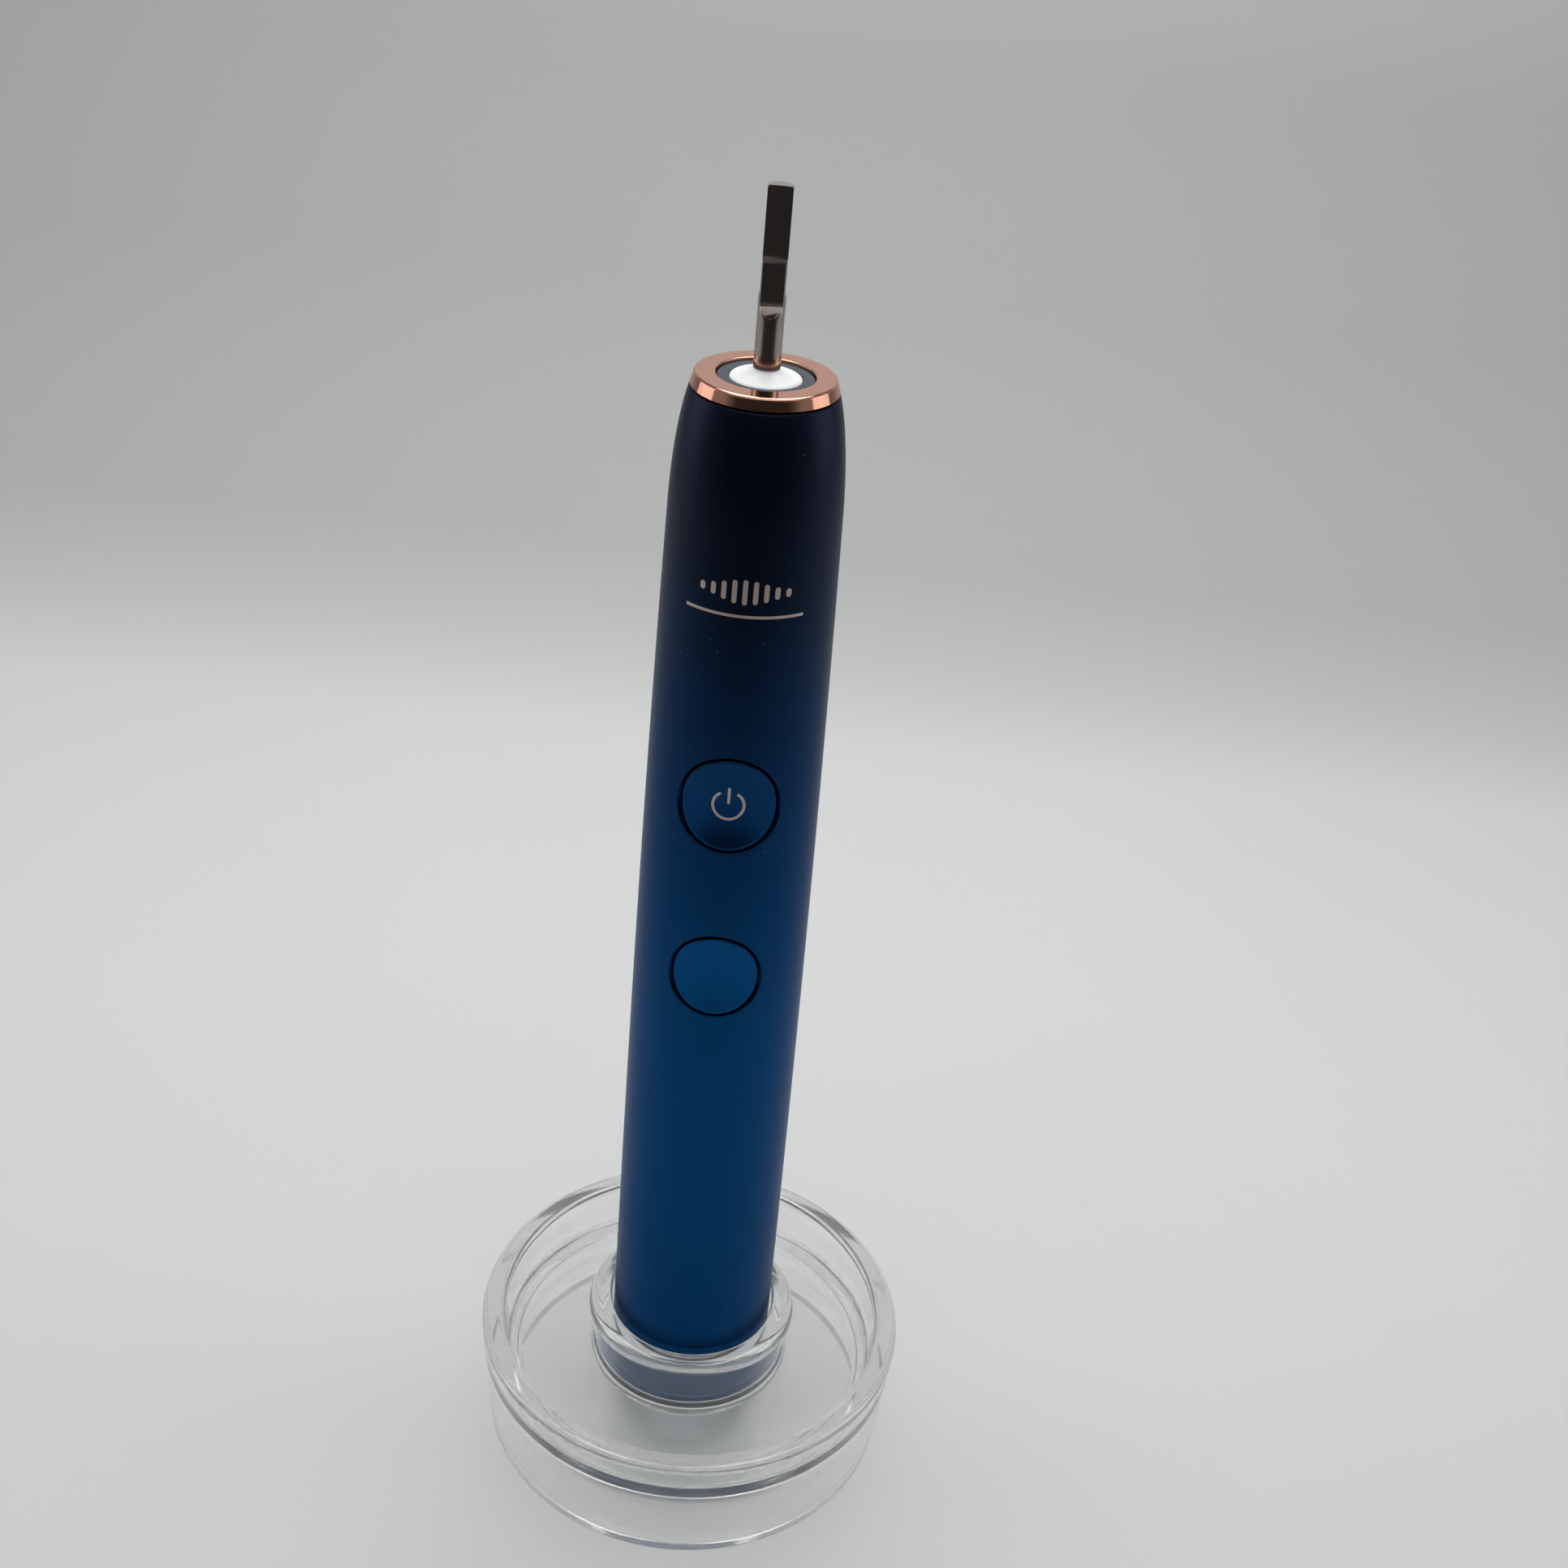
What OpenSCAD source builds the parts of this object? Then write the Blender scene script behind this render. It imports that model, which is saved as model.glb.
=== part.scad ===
// Cordless toothbrush handle, standing in a clear display stand.
// Origin: centre of the stand's underside, on the table. +Z is up and the buttons face -Y. Millimetres.

/* [Stand] */
// Outer radius of the stand at its rim
stand_r = 37.4; // [32:0.1:48]
// How far the stand's side draws in from the rim to the table
stand_draft = 1.7; // [0:0.1:3]
// Height of the rim above the table
stand_h = 22; // [18:0.5:34]
// Thickness of the outer wall
stand_wall = 4.1; // [2.5:0.1:6]
// Height of the deck's top face above the table
deck_z = 14.6; // [12.5:0.1:17]
// Thickness of the deck
deck_t = 2.8; // [2:0.1:4]
// Wall of the cup at its rim
cup_wall = 4; // [2.5:0.1:6]
// How far the cup's outside draws in from its rim to its underside
cup_draft = 1.9; // [0:0.1:2.4]
// Height of the cup's underside above the table
cup_z = 9.8; // [8:0.1:11]
// Thickness of the cup's floor
cup_floor = 3.2; // [2:0.1:4]
// How far the cup's rim stands above the stand's rim
cup_rise = 3; // [0:0.1:4]
// Radius on the cup's lower edge
cup_low_round = 1.5; // [0.4:0.1:1.8]
// Radius on the edges of the stand's rim
rim_round = 1.2; // [0.4:0.1:1.2]

/* [Handle] */
// Length of the handle, from its base to the top of the metal collar
handle_l = 184.15; // [175:0.5:230]
// Radius of the handle at its base
handle_r = 13.95; // [13:0.05:17]
// How much the radius falls along the whole length
taper = 1.95; // [1:0.05:2.2]
// How much more the radius falls over the shoulder
shoulder_drop = 3.3; // [2:0.1:3.6]
// Length of the rounded shoulder under the collar
shoulder_l = 19.2; // [16:0.2:24]
// Thickness of the housing's wall
housing_wall = 1.4; // [1:0.1:1.6]
// Height of the bottom cap's outer part
cap_h = 3; // [2.6:0.1:5]
// Radius of the base's rounded edge
base_round = 2.4; // [1:0.1:2.5]

/* [Collar and seals] */
// Height of the metal collar
collar_h = 1.85; // [1.2:0.05:2.5]
// Radius of the hole in the collar
collar_hole_r = 6.95; // [6.2:0.05:7.4]
// Radius of the white seal
seal_r = 5.1; // [4.4:0.05:5.6]
// How far the seal's tip stands above the collar
seal_rise = 0.95; // [0.5:0.05:2]
// How far the dark gasket lies below the collar's top
gasket_sink = 0.4; // [0.2:0.05:0.8]

/* [Drive shaft] */
// Radius of the shaft's exposed round end
shaft_r = 1.9; // [1.5:0.05:2.3]
// How far the shaft stands above the seal's tip
shaft_rise = 24.7; // [20:0.1:30]
// Length of the exposed round stretch
shaft_round_l = 7.25; // [5:0.05:9]
// Distance from the shaft's axis to its front flat
flat_y = 1.1; // [0.9:0.05:1.3]
// Width of the shaft across its two narrow sides
shaft_narrow = 3.4; // [3:0.05:3.6]

/* [Buttons] */
// Height of the power button's centre above the handle's base
power_z = 122.65; // [116:0.1:125]
// Radius of the power button's opening, measured round the surface
power_r = 8.05; // [6.5:0.05:8.4]
// Height of the mode button's centre above the handle's base
mode_z = 92.05; // [88:0.1:97]
// Radius of the mode button's opening, measured round the surface
mode_r = 7.5; // [6:0.05:7.9]
// How far the sides of both openings droop below a true circle
button_droop = 0.65; // [0:0.05:1]
// Gap round each button
button_gap = 0.5; // [0.3:0.05:0.7]
// How far the button's face is hollowed at its middle
button_dish = 0.45; // [0:0.05:0.6]
// How far a button travels when pressed
button_travel = 0.4; // [0.2:0.05:0.5]

/* [Power pack] */
// Radius of the battery cell
cell_r = 7; // [6:0.1:7.3]
// Length of the battery cell
cell_l = 50; // [40:0.5:55]
// Thickness of the circuit board
board_t = 1; // [0.8:0.1:1.4]
// Height of the charging coil's bobbin
bobbin_h = 9; // [6:0.5:10]

/* [Hidden] */
$fn = 96;
far = handle_l + stand_r; // longer than any cut has to reach
skin = 0.04;         // thickness of the printed marks
seat_gap = 0.05;     // between the handle's base and the cup's floor
cup_gap = 0.4;       // between the handle's side and the cup
part_gap = 0.3;      // between inner pieces and the housing
fit_gap = 0.05;      // radial clearance of a running fit
joint_gap = 0.15;    // visible line between the collar and the housing

cup_r = handle_r + cup_gap;
handle_z = cup_z + cup_floor + seat_gap;
collar_z = handle_l - collar_h;
housing_top = collar_z - joint_gap;
shoulder_z = housing_top - shoulder_l + 2;
seal_tip = handle_l + seal_rise;
shaft_top = seal_tip + shaft_rise;
bearing_shaft_r = shaft_r + 0.1;
neck_r = shaft_r - 0.2;

// Radius of the handle's outside at height z above its base
function falloff(u) = 1 - sqrt(1 - u * u);
function shoulder(z) = z <= shoulder_z ? 0
  : shoulder_drop * falloff((z - shoulder_z) / (handle_l + 0.8 - shoulder_z));
function outer_r(z) = handle_r - taper * pow(z / handle_l, 2.7) - shoulder(z);
function inner_r(z) = outer_r(z) - housing_wall;

// Heights at which the outline has a point: few where it is straight, more over the shoulder
function heights(lo, hi) = concat([lo],
  [for (z = [30, 60, 85, 105, 120, 133, 145, 156, 165]) if (z > lo + 2 && z < hi - 2) z],
  [for (i = [0 : 8]) let (z = shoulder_z + (housing_top - shoulder_z) * sin(90 * i / 8))
    if (z > max(lo, 165) + 2 && z < hi - 0.2) z], [hi]);

// Solid of revolution between lo and hi, with the handle's outline moved out by grow
module outline_solid(lo, hi, grow = 0) {
  zs = heights(lo, hi);
  rotate_extrude() polygon(concat([[0, lo]], [for (z = zs) [outer_r(z) + grow, z]], [[0, hi]]));
}

// Everything in front of the axis plane, bounded by a drooping circle of radius r wrapped round the surface
module wrapped_disc(z, r) {
  turn = 180 / PI / outer_r(z);
  translate([0, 0, z]) rotate([90, 0, 0]) linear_extrude(far)
    polygon([for (a = [0 : 6 : 354])
      [outer_r(z) * sin(r * cos(a) * turn), r * sin(a) - button_droop * pow(cos(a), 2)]]);
}

module on_handle() translate([0, 0, handle_z]) children();

module tube(r_out, r_in, z_lo, z_hi) translate([0, 0, z_lo]) difference() {
  cylinder(r = r_out, h = z_hi - z_lo);
  translate([0, 0, -1]) cylinder(r = r_in, h = z_hi - z_lo + 2);
}

// ---- Stand ----

module wall_section(r_low, r_high, wall, z_low) {
  rr = min(rim_round, wall / 2 - 0.05);
  polygon([[r_low - wall, z_low], [r_low, z_low], [r_high, stand_h - rr], [r_high - wall, stand_h - rr]]);
  translate([r_high - rr, stand_h - rr]) circle(r = rr);
  translate([r_high - wall + rr, stand_h - rr]) circle(r = rr);
  translate([r_high - wall + rr, stand_h - 2 * rr]) square([wall - 2 * rr, 2 * rr]);
}

// Half section of the cup: a wide rounding outside its rim, a small one inside, one on its lower edge
module cup_section() {
  edge_r = cup_r + cup_wall;
  lip_round = 0.48 * cup_wall;
  bore_round = 0.15 * cup_wall;
  lip_z = stand_h + cup_rise - lip_round;
  lean = atan2(cup_draft, lip_z - cup_z);
  low_r = edge_r - cup_draft - cup_low_round * (1 - sin(lean)) / cos(lean);
  low_z = cup_z + cup_low_round;
  polygon([[0, cup_z], [low_r, cup_z],
    [low_r + cup_low_round * cos(lean), low_z - cup_low_round * sin(lean)],
    [edge_r, lip_z], [cup_r, lip_z], [cup_r, cup_z + cup_floor], [0, cup_z + cup_floor]]);
  translate([low_r, low_z]) circle(r = cup_low_round);
  translate([edge_r - lip_round, lip_z]) circle(r = lip_round);
  translate([cup_r, lip_z]) square([cup_wall - lip_round, lip_round - bore_round]);
  translate([cup_r + bore_round, lip_z]) square([cup_wall - lip_round - bore_round, lip_round]);
  translate([cup_r + bore_round, lip_z + lip_round - bore_round]) circle(r = bore_round);
}

module clear_stand() color([0.9, 0.95, 0.97, 0.35]) rotate_extrude() {
  wall_section(stand_r - stand_draft, stand_r, stand_wall, 0);
  translate([cup_r + cup_wall / 2, deck_z - deck_t])
    square([stand_r - stand_draft - stand_wall / 2 - cup_r - cup_wall / 2, deck_t]);
  cup_section();
}

// ---- Handle: outside ----

spigot_r = inner_r(cap_h) - fit_gap;
spigot_top = cap_h + 4;
ring_r = 0.7;
ring_z = cap_h + 2;

module housing() color([0.03, 0.16, 0.31]) on_handle() difference() {
  outline_solid(cap_h, housing_top);
  outline_solid(cap_h - 1, housing_top + 1, -housing_wall);
  wrapped_disc(power_z, power_r);
  wrapped_disc(mode_z, mode_r);
}

module bottom_cap() color([0.03, 0.18, 0.34]) on_handle() difference() {
  rotate_extrude() {
    translate([0, base_round]) square([handle_r, cap_h - base_round]);
    square([handle_r - base_round, cap_h]);
    intersection() {
      translate([handle_r - base_round, base_round]) circle(r = base_round);
      square([handle_r, base_round]);
    }
    square([spigot_r, spigot_top]);
  }
  tube(spigot_r + 1, spigot_r - 2 * ring_r - fit_gap, ring_z - ring_r - fit_gap, ring_z + ring_r + fit_gap);
  translate([0, 0, cap_h]) cylinder(r = spigot_r - 2.6, h = far);
}

module base_seal() color([0.1, 0.1, 0.11]) on_handle() translate([0, 0, ring_z])
  rotate_extrude() translate([spigot_r - ring_r, 0]) circle(r = ring_r);

collar_low_r = outer_r(housing_top) - 0.02;
collar_round = 0.45;

module collar_ring() color([0.72, 0.45, 0.36]) on_handle() rotate_extrude() {
  top_r = collar_low_r - 0.4;
  polygon([[collar_hole_r, collar_z], [collar_low_r, collar_z], [top_r, handle_l - collar_round],
    [top_r - collar_round, handle_l], [collar_hole_r, handle_l]]);
  translate([top_r - collar_round, handle_l - collar_round]) circle(r = collar_round);
}

carrier_low = collar_z - 10;
carrier_r = inner_r(housing_top) - fit_gap;
gasket_top = handle_l - gasket_sink;
seal_edge = gasket_top - 0.1;
gasket_base = seal_edge - 2;

module top_gasket() color([0.16, 0.18, 0.2]) on_handle()
  tube(collar_hole_r - 0.12, seal_r + 0.06, gasket_base, gasket_top);

module shaft_seal() color([0.93, 0.93, 0.92]) on_handle() rotate_extrude() {
  tip_r = shaft_r + 0.35;
  bore = neck_r + fit_gap;
  polygon([[bore, gasket_base], [seal_r, gasket_base], [seal_r, seal_edge], [seal_r - 0.5, seal_edge + 0.35],
    [tip_r + 0.4, seal_tip - 0.25], [tip_r, seal_tip - 0.05], [bore, seal_tip - 0.05]]);
}

module seal_carrier() color([0.85, 0.86, 0.86]) on_handle() difference() {
  translate([0, 0, carrier_low]) cylinder(r = carrier_r, h = collar_z - carrier_low);
  translate([0, 0, gasket_base]) cylinder(r = collar_hole_r - 0.06, h = far);
  translate([0, 0, carrier_low - 1]) cylinder(r = bearing_shaft_r + 0.6, h = far);
}

// A plain pulse-bar mark over a fine underline, wrapped round the front
mark_z = 155.4;
module front_mark() color([0.78, 0.6, 0.52]) on_handle() intersection() {
  difference() {
    outline_solid(mark_z - 8, mark_z + 10, skin);
    outline_solid(mark_z - 9, mark_z + 11);
  }
  translate([0, 0, mark_z]) rotate([90, 0, 0]) linear_extrude(far) {
    for (i = [-4 : 4]) {
      bar_h = 1.2 + 2.6 * pow(cos(20 * i), 2);
      translate([1.5 * i - 0.35, 1.6 - bar_h / 2]) square([0.7, bar_h]);
    }
    translate([-8.2, -2.3]) square([16.4, 0.45]);
  }
}

// ---- Handle: buttons ----

flange_gap = part_gap + 0.1;
flange_t = 1;

// Face of a button: the handle's outline, hollowed by an arc between its lower and upper edges
function face_r(z, zc, r) = outer_r(z) - button_dish * (1 - pow((z - zc) / r, 2));

module face_solid(zc, r, grow = 0) rotate_extrude() polygon(concat([[0, zc - r]],
  [for (i = [-5 : 5]) let (z = zc + r * i / 5) [face_r(z, zc, r) + grow, z]], [[0, zc + r]]));

module button(zc, hole_r) {
  r = hole_r - button_gap;
  back_r = inner_r(zc + hole_r) - flange_gap;
  intersection() {
    difference() {
      face_solid(zc, r);
      translate([0, 0, zc - far]) cylinder(r = back_r - flange_t, h = 2 * far);
    }
    wrapped_disc(zc, r);
  }
  intersection() {
    tube(back_r, back_r - flange_t, zc - hole_r - 1, zc + hole_r + 1);
    wrapped_disc(zc, hole_r + 0.8);
  }
  translate([0, -stem_end, zc]) rotate([90, 0, 0]) cylinder(r = 1.5, h = back_r - flange_t / 2 - stem_end);
}

module power_button() color([0.02, 0.2, 0.38]) on_handle() button(power_z, power_r);
module mode_button() color([0.02, 0.22, 0.4]) on_handle() button(mode_z, mode_r);

symbol_r = 2.25;
symbol_line = 0.6;
module power_symbol() color([0.8, 0.68, 0.62]) on_handle() intersection() {
  difference() {
    face_solid(power_z, power_r - button_gap, skin);
    face_solid(power_z, power_r - button_gap);
  }
  translate([0, 0, power_z]) rotate([90, 0, 0]) linear_extrude(far) {
    difference() {
      circle(r = symbol_r + symbol_line / 2);
      circle(r = symbol_r - symbol_line / 2);
      polygon([[0, 0], [-2 * symbol_r * sin(28), 2 * symbol_r], [2 * symbol_r * sin(28), 2 * symbol_r]]);
    }
    translate([-symbol_line / 2, 0.2]) square([symbol_line, symbol_r + 0.6]);
  }
}

// ---- Handle: electronics ----

board_back = 5;
board_y = board_back + board_t;
board_lo = mode_z - 22;
board_hi = power_z + 8.3;
board_w = 15.6;
switch_w = 4;
switch_h = 1.5;
plunger_h = 0.4;
stem_end = board_y + switch_h + plunger_h + button_travel + 0.05;
screw_x = 5.9;
screw_zs = [board_lo + 4, mode_z + 15.3];

module on_board(x, z) translate([x, -board_y, z]) rotate([90, 0, 0]) children();

module circuit_board() color([0.05, 0.3, 0.16]) on_handle() difference() {
  translate([-board_w / 2, -board_y, board_lo]) cube([board_w, board_t, board_hi - board_lo]);
  for (z = screw_zs, x = [-screw_x, screw_x])
    translate([x, 0, z]) rotate([90, 0, 0]) cylinder(r = 1.1, h = far);
}

module control_chips() color([0.08, 0.08, 0.09]) on_handle() {
  on_board(0, mode_z + 14) translate([-3, -3, 0]) cube([6, 6, 1]);
  for (x = [-5.6, 5.6]) on_board(x, mode_z + 5) translate([-1, -1.6, 0]) cube([2, 3.2, 0.8]);
}

module tact_switches() color([0.7, 0.7, 0.72]) on_handle() for (z = [mode_z, power_z]) on_board(0, z) {
  translate([-switch_w / 2, -switch_w / 2, 0]) cube([switch_w, switch_w, switch_h]);
  cylinder(r = 1, h = switch_h + plunger_h);
}

module button_gaskets() color([0.12, 0.12, 0.13]) on_handle() for (z = [mode_z, power_z])
  on_board(0, z) difference() {
    cylinder(r = 4.5, h = 2.8);
    translate([0, 0, -1]) cylinder(r = 3.3, h = 5);
  }

led_zs = [for (i = [0 : 3]) mode_z - 18.5 + 3 * i];
module status_leds() color([0.95, 0.95, 0.85]) on_handle() for (z = led_zs)
  on_board(0, z) translate([-0.8, -0.6, 0]) cube([1.6, 1.2, 0.7]);

module light_guide() color([0.85, 0.9, 0.92, 0.5]) on_handle() intersection() {
  on_board(0, led_zs[0]) translate([-2, -1, 0.75]) cube([4, led_zs[3] - led_zs[0] + 2, far]);
  outline_solid(board_lo - 5, board_hi, -housing_wall - part_gap);
}

module board_screws() color([0.6, 0.6, 0.62]) on_handle() for (z = screw_zs, x = [-screw_x, screw_x])
  translate([x, -board_y, z]) rotate([90, 0, 0]) difference() {
    union() {
      cylinder(r = 1.7, h = 1.1);
      translate([0, 0, -board_t - 3]) cylinder(r = 0.8, h = board_t + 3);
    }
    translate([0, 0, 0.6]) cylinder(r = 0.7, h = 1, $fn = 6);
  }

// ---- Handle: battery and charging coil ----

coil_lo = spigot_top;
coil_hi = coil_lo + bobbin_h;
pad_t = 1.5;
chassis_lo = coil_hi + 1;
chassis_hi = board_hi + 0.2;
chassis_r = inner_r(chassis_hi) - part_gap;
chassis_front = 3;
cell_y = cell_r - board_back + 1.6;
cell_lo = chassis_lo + 2 + pad_t + 0.4;
cell_hi = cell_lo + cell_l;

module chassis() color([0.88, 0.88, 0.86]) on_handle() difference() {
  union() {
    intersection() {
      translate([0, 0, chassis_lo]) cylinder(r = chassis_r, h = chassis_hi - chassis_lo);
      translate([-far, -chassis_front, chassis_lo]) cube([2 * far, far, chassis_hi - chassis_lo]);
    }
    for (z = screw_zs, x = [-screw_x, screw_x])
      translate([x, -chassis_front + 1, z]) rotate([90, 0, 0])
        cylinder(r = 1.8, h = board_back - chassis_front + 1);
  }
  translate([0, cell_y, chassis_lo + 2]) cylinder(r = cell_r + 0.3, h = cell_hi + 1 - chassis_lo - 2);
  translate([-cell_r - 0.3, -far, chassis_lo + 2])
    cube([2 * cell_r + 0.6, far + cell_y, cell_hi - chassis_lo - 1]);
  translate([-3.8, -far, cell_hi + 5]) cube([7.6, 2 * far, chassis_hi - cell_hi - 12]);
  for (z = screw_zs, x = [-screw_x, screw_x])
    translate([x, 0.2 - board_back + 3, z]) rotate([90, 0, 0]) cylinder(r = 0.8, h = far);
}

module battery_cell() color([0.15, 0.35, 0.3]) on_handle() translate([0, cell_y, cell_lo]) {
  cylinder(r = cell_r, h = cell_l - 1);
  cylinder(r = 3, h = cell_l);
}

module battery_tabs() color([0.75, 0.75, 0.72]) on_handle() {
  translate([-2.5, -board_back, cell_lo - 0.3]) cube([5, cell_y + board_back + 3, 0.25]);
  translate([-2.5, -board_back, cell_hi + 0.05]) cube([5, cell_y + board_back + 3, 0.25]);
}

module battery_pad() color([0.2, 0.2, 0.2]) on_handle()
  translate([0, cell_y, chassis_lo + 2]) cylinder(r = cell_r, h = pad_t);

bobbin_r = spigot_r - 1.4;
module coil_bobbin() color([0.9, 0.9, 0.9]) on_handle() {
  tube(bobbin_r, 3.5, coil_lo, coil_lo + 1);
  tube(bobbin_r, 3.5, coil_hi - 1, coil_hi);
  tube(4.4, 3.5, coil_lo, coil_hi);
}

module charging_coil() color([0.75, 0.4, 0.2]) on_handle()
  tube(bobbin_r - 0.6, 4.45, coil_lo + 1.05, coil_hi - 1.05);

module ferrite_core() color([0.2, 0.19, 0.19]) on_handle()
  translate([0, 0, coil_lo]) cylinder(r = 3.4, h = bobbin_h);

module charge_leads() color([0.6, 0.1, 0.1]) on_handle() for (x = [-8.2, 8.2])
  translate([x, -board_back + 0.9, coil_hi]) cylinder(r = 0.4, h = board_lo + 1.5 - coil_hi);

// ---- Handle: drive unit ----

plate_lo = chassis_hi + 1.6;
plate_t = 4;
drive_lo = plate_lo + plate_t;
drive_hi = carrier_low;
drive_r = inner_r(drive_hi) - part_gap - 0.1;
cage_r = drive_r - 1;
bush_r = 4;
bush_l = 5;
gap_r = 6.9;
rotor_lo = drive_lo + 4.5;
rotor_l = drive_hi - bush_l - 1 - rotor_lo - 3;
magnet_r = gap_r - 0.5;
hub_r = 4.4;

module drive_frame() color([0.3, 0.31, 0.33]) on_handle() difference() {
  translate([0, 0, drive_lo]) cylinder(r = drive_r, h = drive_hi - drive_lo);
  translate([0, 0, drive_lo - 1]) cylinder(r = cage_r, h = drive_hi - bush_l - drive_lo + 1);
  translate([0, 0, drive_lo]) cylinder(r = bush_r, h = far);
}

module rear_plate() color([0.35, 0.36, 0.38]) on_handle() difference() {
  tube(drive_r, bush_r, plate_lo, drive_lo);
  for (x = [-1, 1]) translate([x * (bush_r + cage_r) / 2, 0, plate_lo - 1]) {
    cylinder(r = 0.9, h = far);
    cylinder(r = 1.7, h = 2);
  }
}

module plate_screws() color([0.62, 0.62, 0.64]) on_handle() for (x = [-1, 1])
  translate([x * (bush_r + cage_r) / 2, 0, plate_lo]) {
    cylinder(r = 1.6, h = 0.95);
    cylinder(r = 0.8, h = plate_t);
  }

damper_zs = [drive_lo + 5, drive_hi - 3];
module frame_dampers() color([0.14, 0.14, 0.15]) on_handle() for (z = damper_zs)
  tube(min(inner_r(z + 1), inner_r(z)) - fit_gap, drive_r + 0.02, z - 1, z + 1);

coil_seat = rotor_l / 2 - 3.2;
module stator_core() color([0.42, 0.43, 0.45]) on_handle() difference() {
  tube(cage_r - fit_gap, gap_r, rotor_lo, rotor_lo + rotor_l);
  tube(cage_r + 1, gap_r + 0.6, rotor_lo + coil_seat, rotor_lo + rotor_l - coil_seat);
  for (a = [0 : 45 : 135]) rotate([0, 0, a])
    translate([-far, -0.5, rotor_lo + coil_seat - 1]) cube([2 * far, 1, rotor_l - 2 * coil_seat + 2]);
}

module drive_coil() color([0.78, 0.42, 0.2]) on_handle()
  tube(cage_r - fit_gap - 0.1, gap_r + 0.65, rotor_lo + coil_seat + 0.1,
    rotor_lo + rotor_l - coil_seat - 0.1);

module front_bearing() color([0.65, 0.55, 0.35]) on_handle()
  tube(bush_r, bearing_shaft_r + fit_gap, drive_hi - bush_l, drive_hi);

module rear_bearing() color([0.65, 0.55, 0.35]) on_handle()
  tube(bush_r, bearing_shaft_r + fit_gap, plate_lo, drive_lo);

module rotor_hub() color([0.5, 0.5, 0.52]) on_handle()
  tube(hub_r, bearing_shaft_r, rotor_lo, rotor_lo + rotor_l);

module rotor_magnets() color([0.55, 0.56, 0.6]) on_handle() difference() {
  tube(magnet_r, hub_r, rotor_lo + 0.5, rotor_lo + rotor_l - 0.5);
  for (a = [0, 90]) rotate([0, 0, a]) translate([-far, -1.2, 0]) cube([2 * far, 2.4, 2 * handle_l]);
}

// Points of a ring of the spring's wire, at turn angle a
spring_r = 3.2;
wire_r = 0.28;
spring_turns = 3.5;
spring_lo = drive_lo + 0.4;
spring_pitch = (rotor_lo - spring_lo - 1) / spring_turns;
function wire_ring(a) = [for (b = [0 : 45 : 315]) [(spring_r + wire_r * cos(b)) * cos(a),
  (spring_r + wire_r * cos(b)) * sin(a), spring_lo + wire_r + spring_pitch * a / 360 + wire_r * sin(b)]];
module return_spring() color([0.7, 0.7, 0.72]) on_handle() {
  steps = [for (a = [0 : 18 : 360 * spring_turns]) a];
  n = len(steps);
  polyhedron(
    points = [for (a = steps) each wire_ring(a)],
    faces = concat([[for (b = [0 : 7]) b]], [[for (b = [7 : -1 : 0]) (n - 1) * 8 + b]],
      [for (i = [0 : n - 2], b = [0 : 7]) [i * 8 + b, (i + 1) * 8 + b, (i + 1) * 8 + (b + 1) % 8,
        i * 8 + (b + 1) % 8]]),
    convexity = 8);
}

module motor_leads() color([0.1, 0.1, 0.1]) on_handle() for (x = [-3, 3])
  translate([x, -board_back + 0.6, board_hi - 4]) cylinder(r = 0.45, h = plate_lo - board_hi + 4);

// ---- Drive shaft ----

round_top = seal_tip + shaft_round_l;
ramp_h = 1.6;
narrow_z = round_top + 2.9;
step_z = round_top + 7.1;
step_h = 1.2;
step_y = 0.25;
shaft_lo = plate_lo + 0.3;
neck_lo = gasket_base - 0.8;
tip_h = 0.5;
tip_in = 0.4;

// Ground blade above the round stretch: flat facets just inside a circle of the shaft's radius
module blade_section() polygon([for (a = [0 : 9 : 351]) (shaft_r - 0.02) * [cos(a), sin(a)]]);

module drive_shaft() color([0.62, 0.61, 0.6]) on_handle() difference() {
  union() {
    translate([0, 0, shaft_lo]) cylinder(r = bearing_shaft_r, h = neck_lo - shaft_lo);
    translate([0, 0, neck_lo]) cylinder(r = neck_r, h = seal_tip - neck_lo);
    translate([0, 0, seal_tip]) cylinder(r = shaft_r, h = narrow_z - seal_tip);
    translate([0, 0, narrow_z]) linear_extrude(shaft_top - narrow_z) blade_section();
  }
  rotate_extrude() polygon([[shaft_r - tip_in, shaft_top], [shaft_r + tip_in, shaft_top - 2 * tip_h],
    [far, shaft_top - 2 * tip_h], [far, shaft_top + 1], [shaft_r - tip_in, shaft_top + 1]]);
  // front flat, with the ramp that runs up to it and the step half way along it
  rotate([90, 0, 90]) translate([0, 0, -far / 2]) linear_extrude(far)
    polygon([[-far, round_top], [-shaft_r, round_top], [-flat_y, round_top + ramp_h], [-flat_y, step_z],
      [-flat_y + step_y, step_z + step_h], [-flat_y + step_y, shaft_top + 1], [-far, shaft_top + 1]]);
  for (s = [-1, 1]) scale([s, 1, 1]) translate([shaft_narrow / 2, -far / 2, narrow_z]) cube([far, far, far]);
}

clear_stand();
housing();
bottom_cap();
base_seal();
collar_ring();
top_gasket();
shaft_seal();
seal_carrier();
front_mark();
power_button();
power_symbol();
mode_button();
button_gaskets();
circuit_board();
control_chips();
tact_switches();
status_leds();
light_guide();
board_screws();
chassis();
battery_cell();
battery_tabs();
battery_pad();
coil_bobbin();
charging_coil();
ferrite_core();
charge_leads();
drive_frame();
rear_plate();
plate_screws();
frame_dampers();
stator_core();
drive_coil();
front_bearing();
rear_bearing();
drive_shaft();
rotor_hub();
rotor_magnets();
return_spring();
motor_leads();
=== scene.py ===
"""Looks of a cordless toothbrush handle on a clear stand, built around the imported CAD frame.

Shapes are worked out in millimetres in the row frame and written to meshes in metres.
"""
import math

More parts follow.
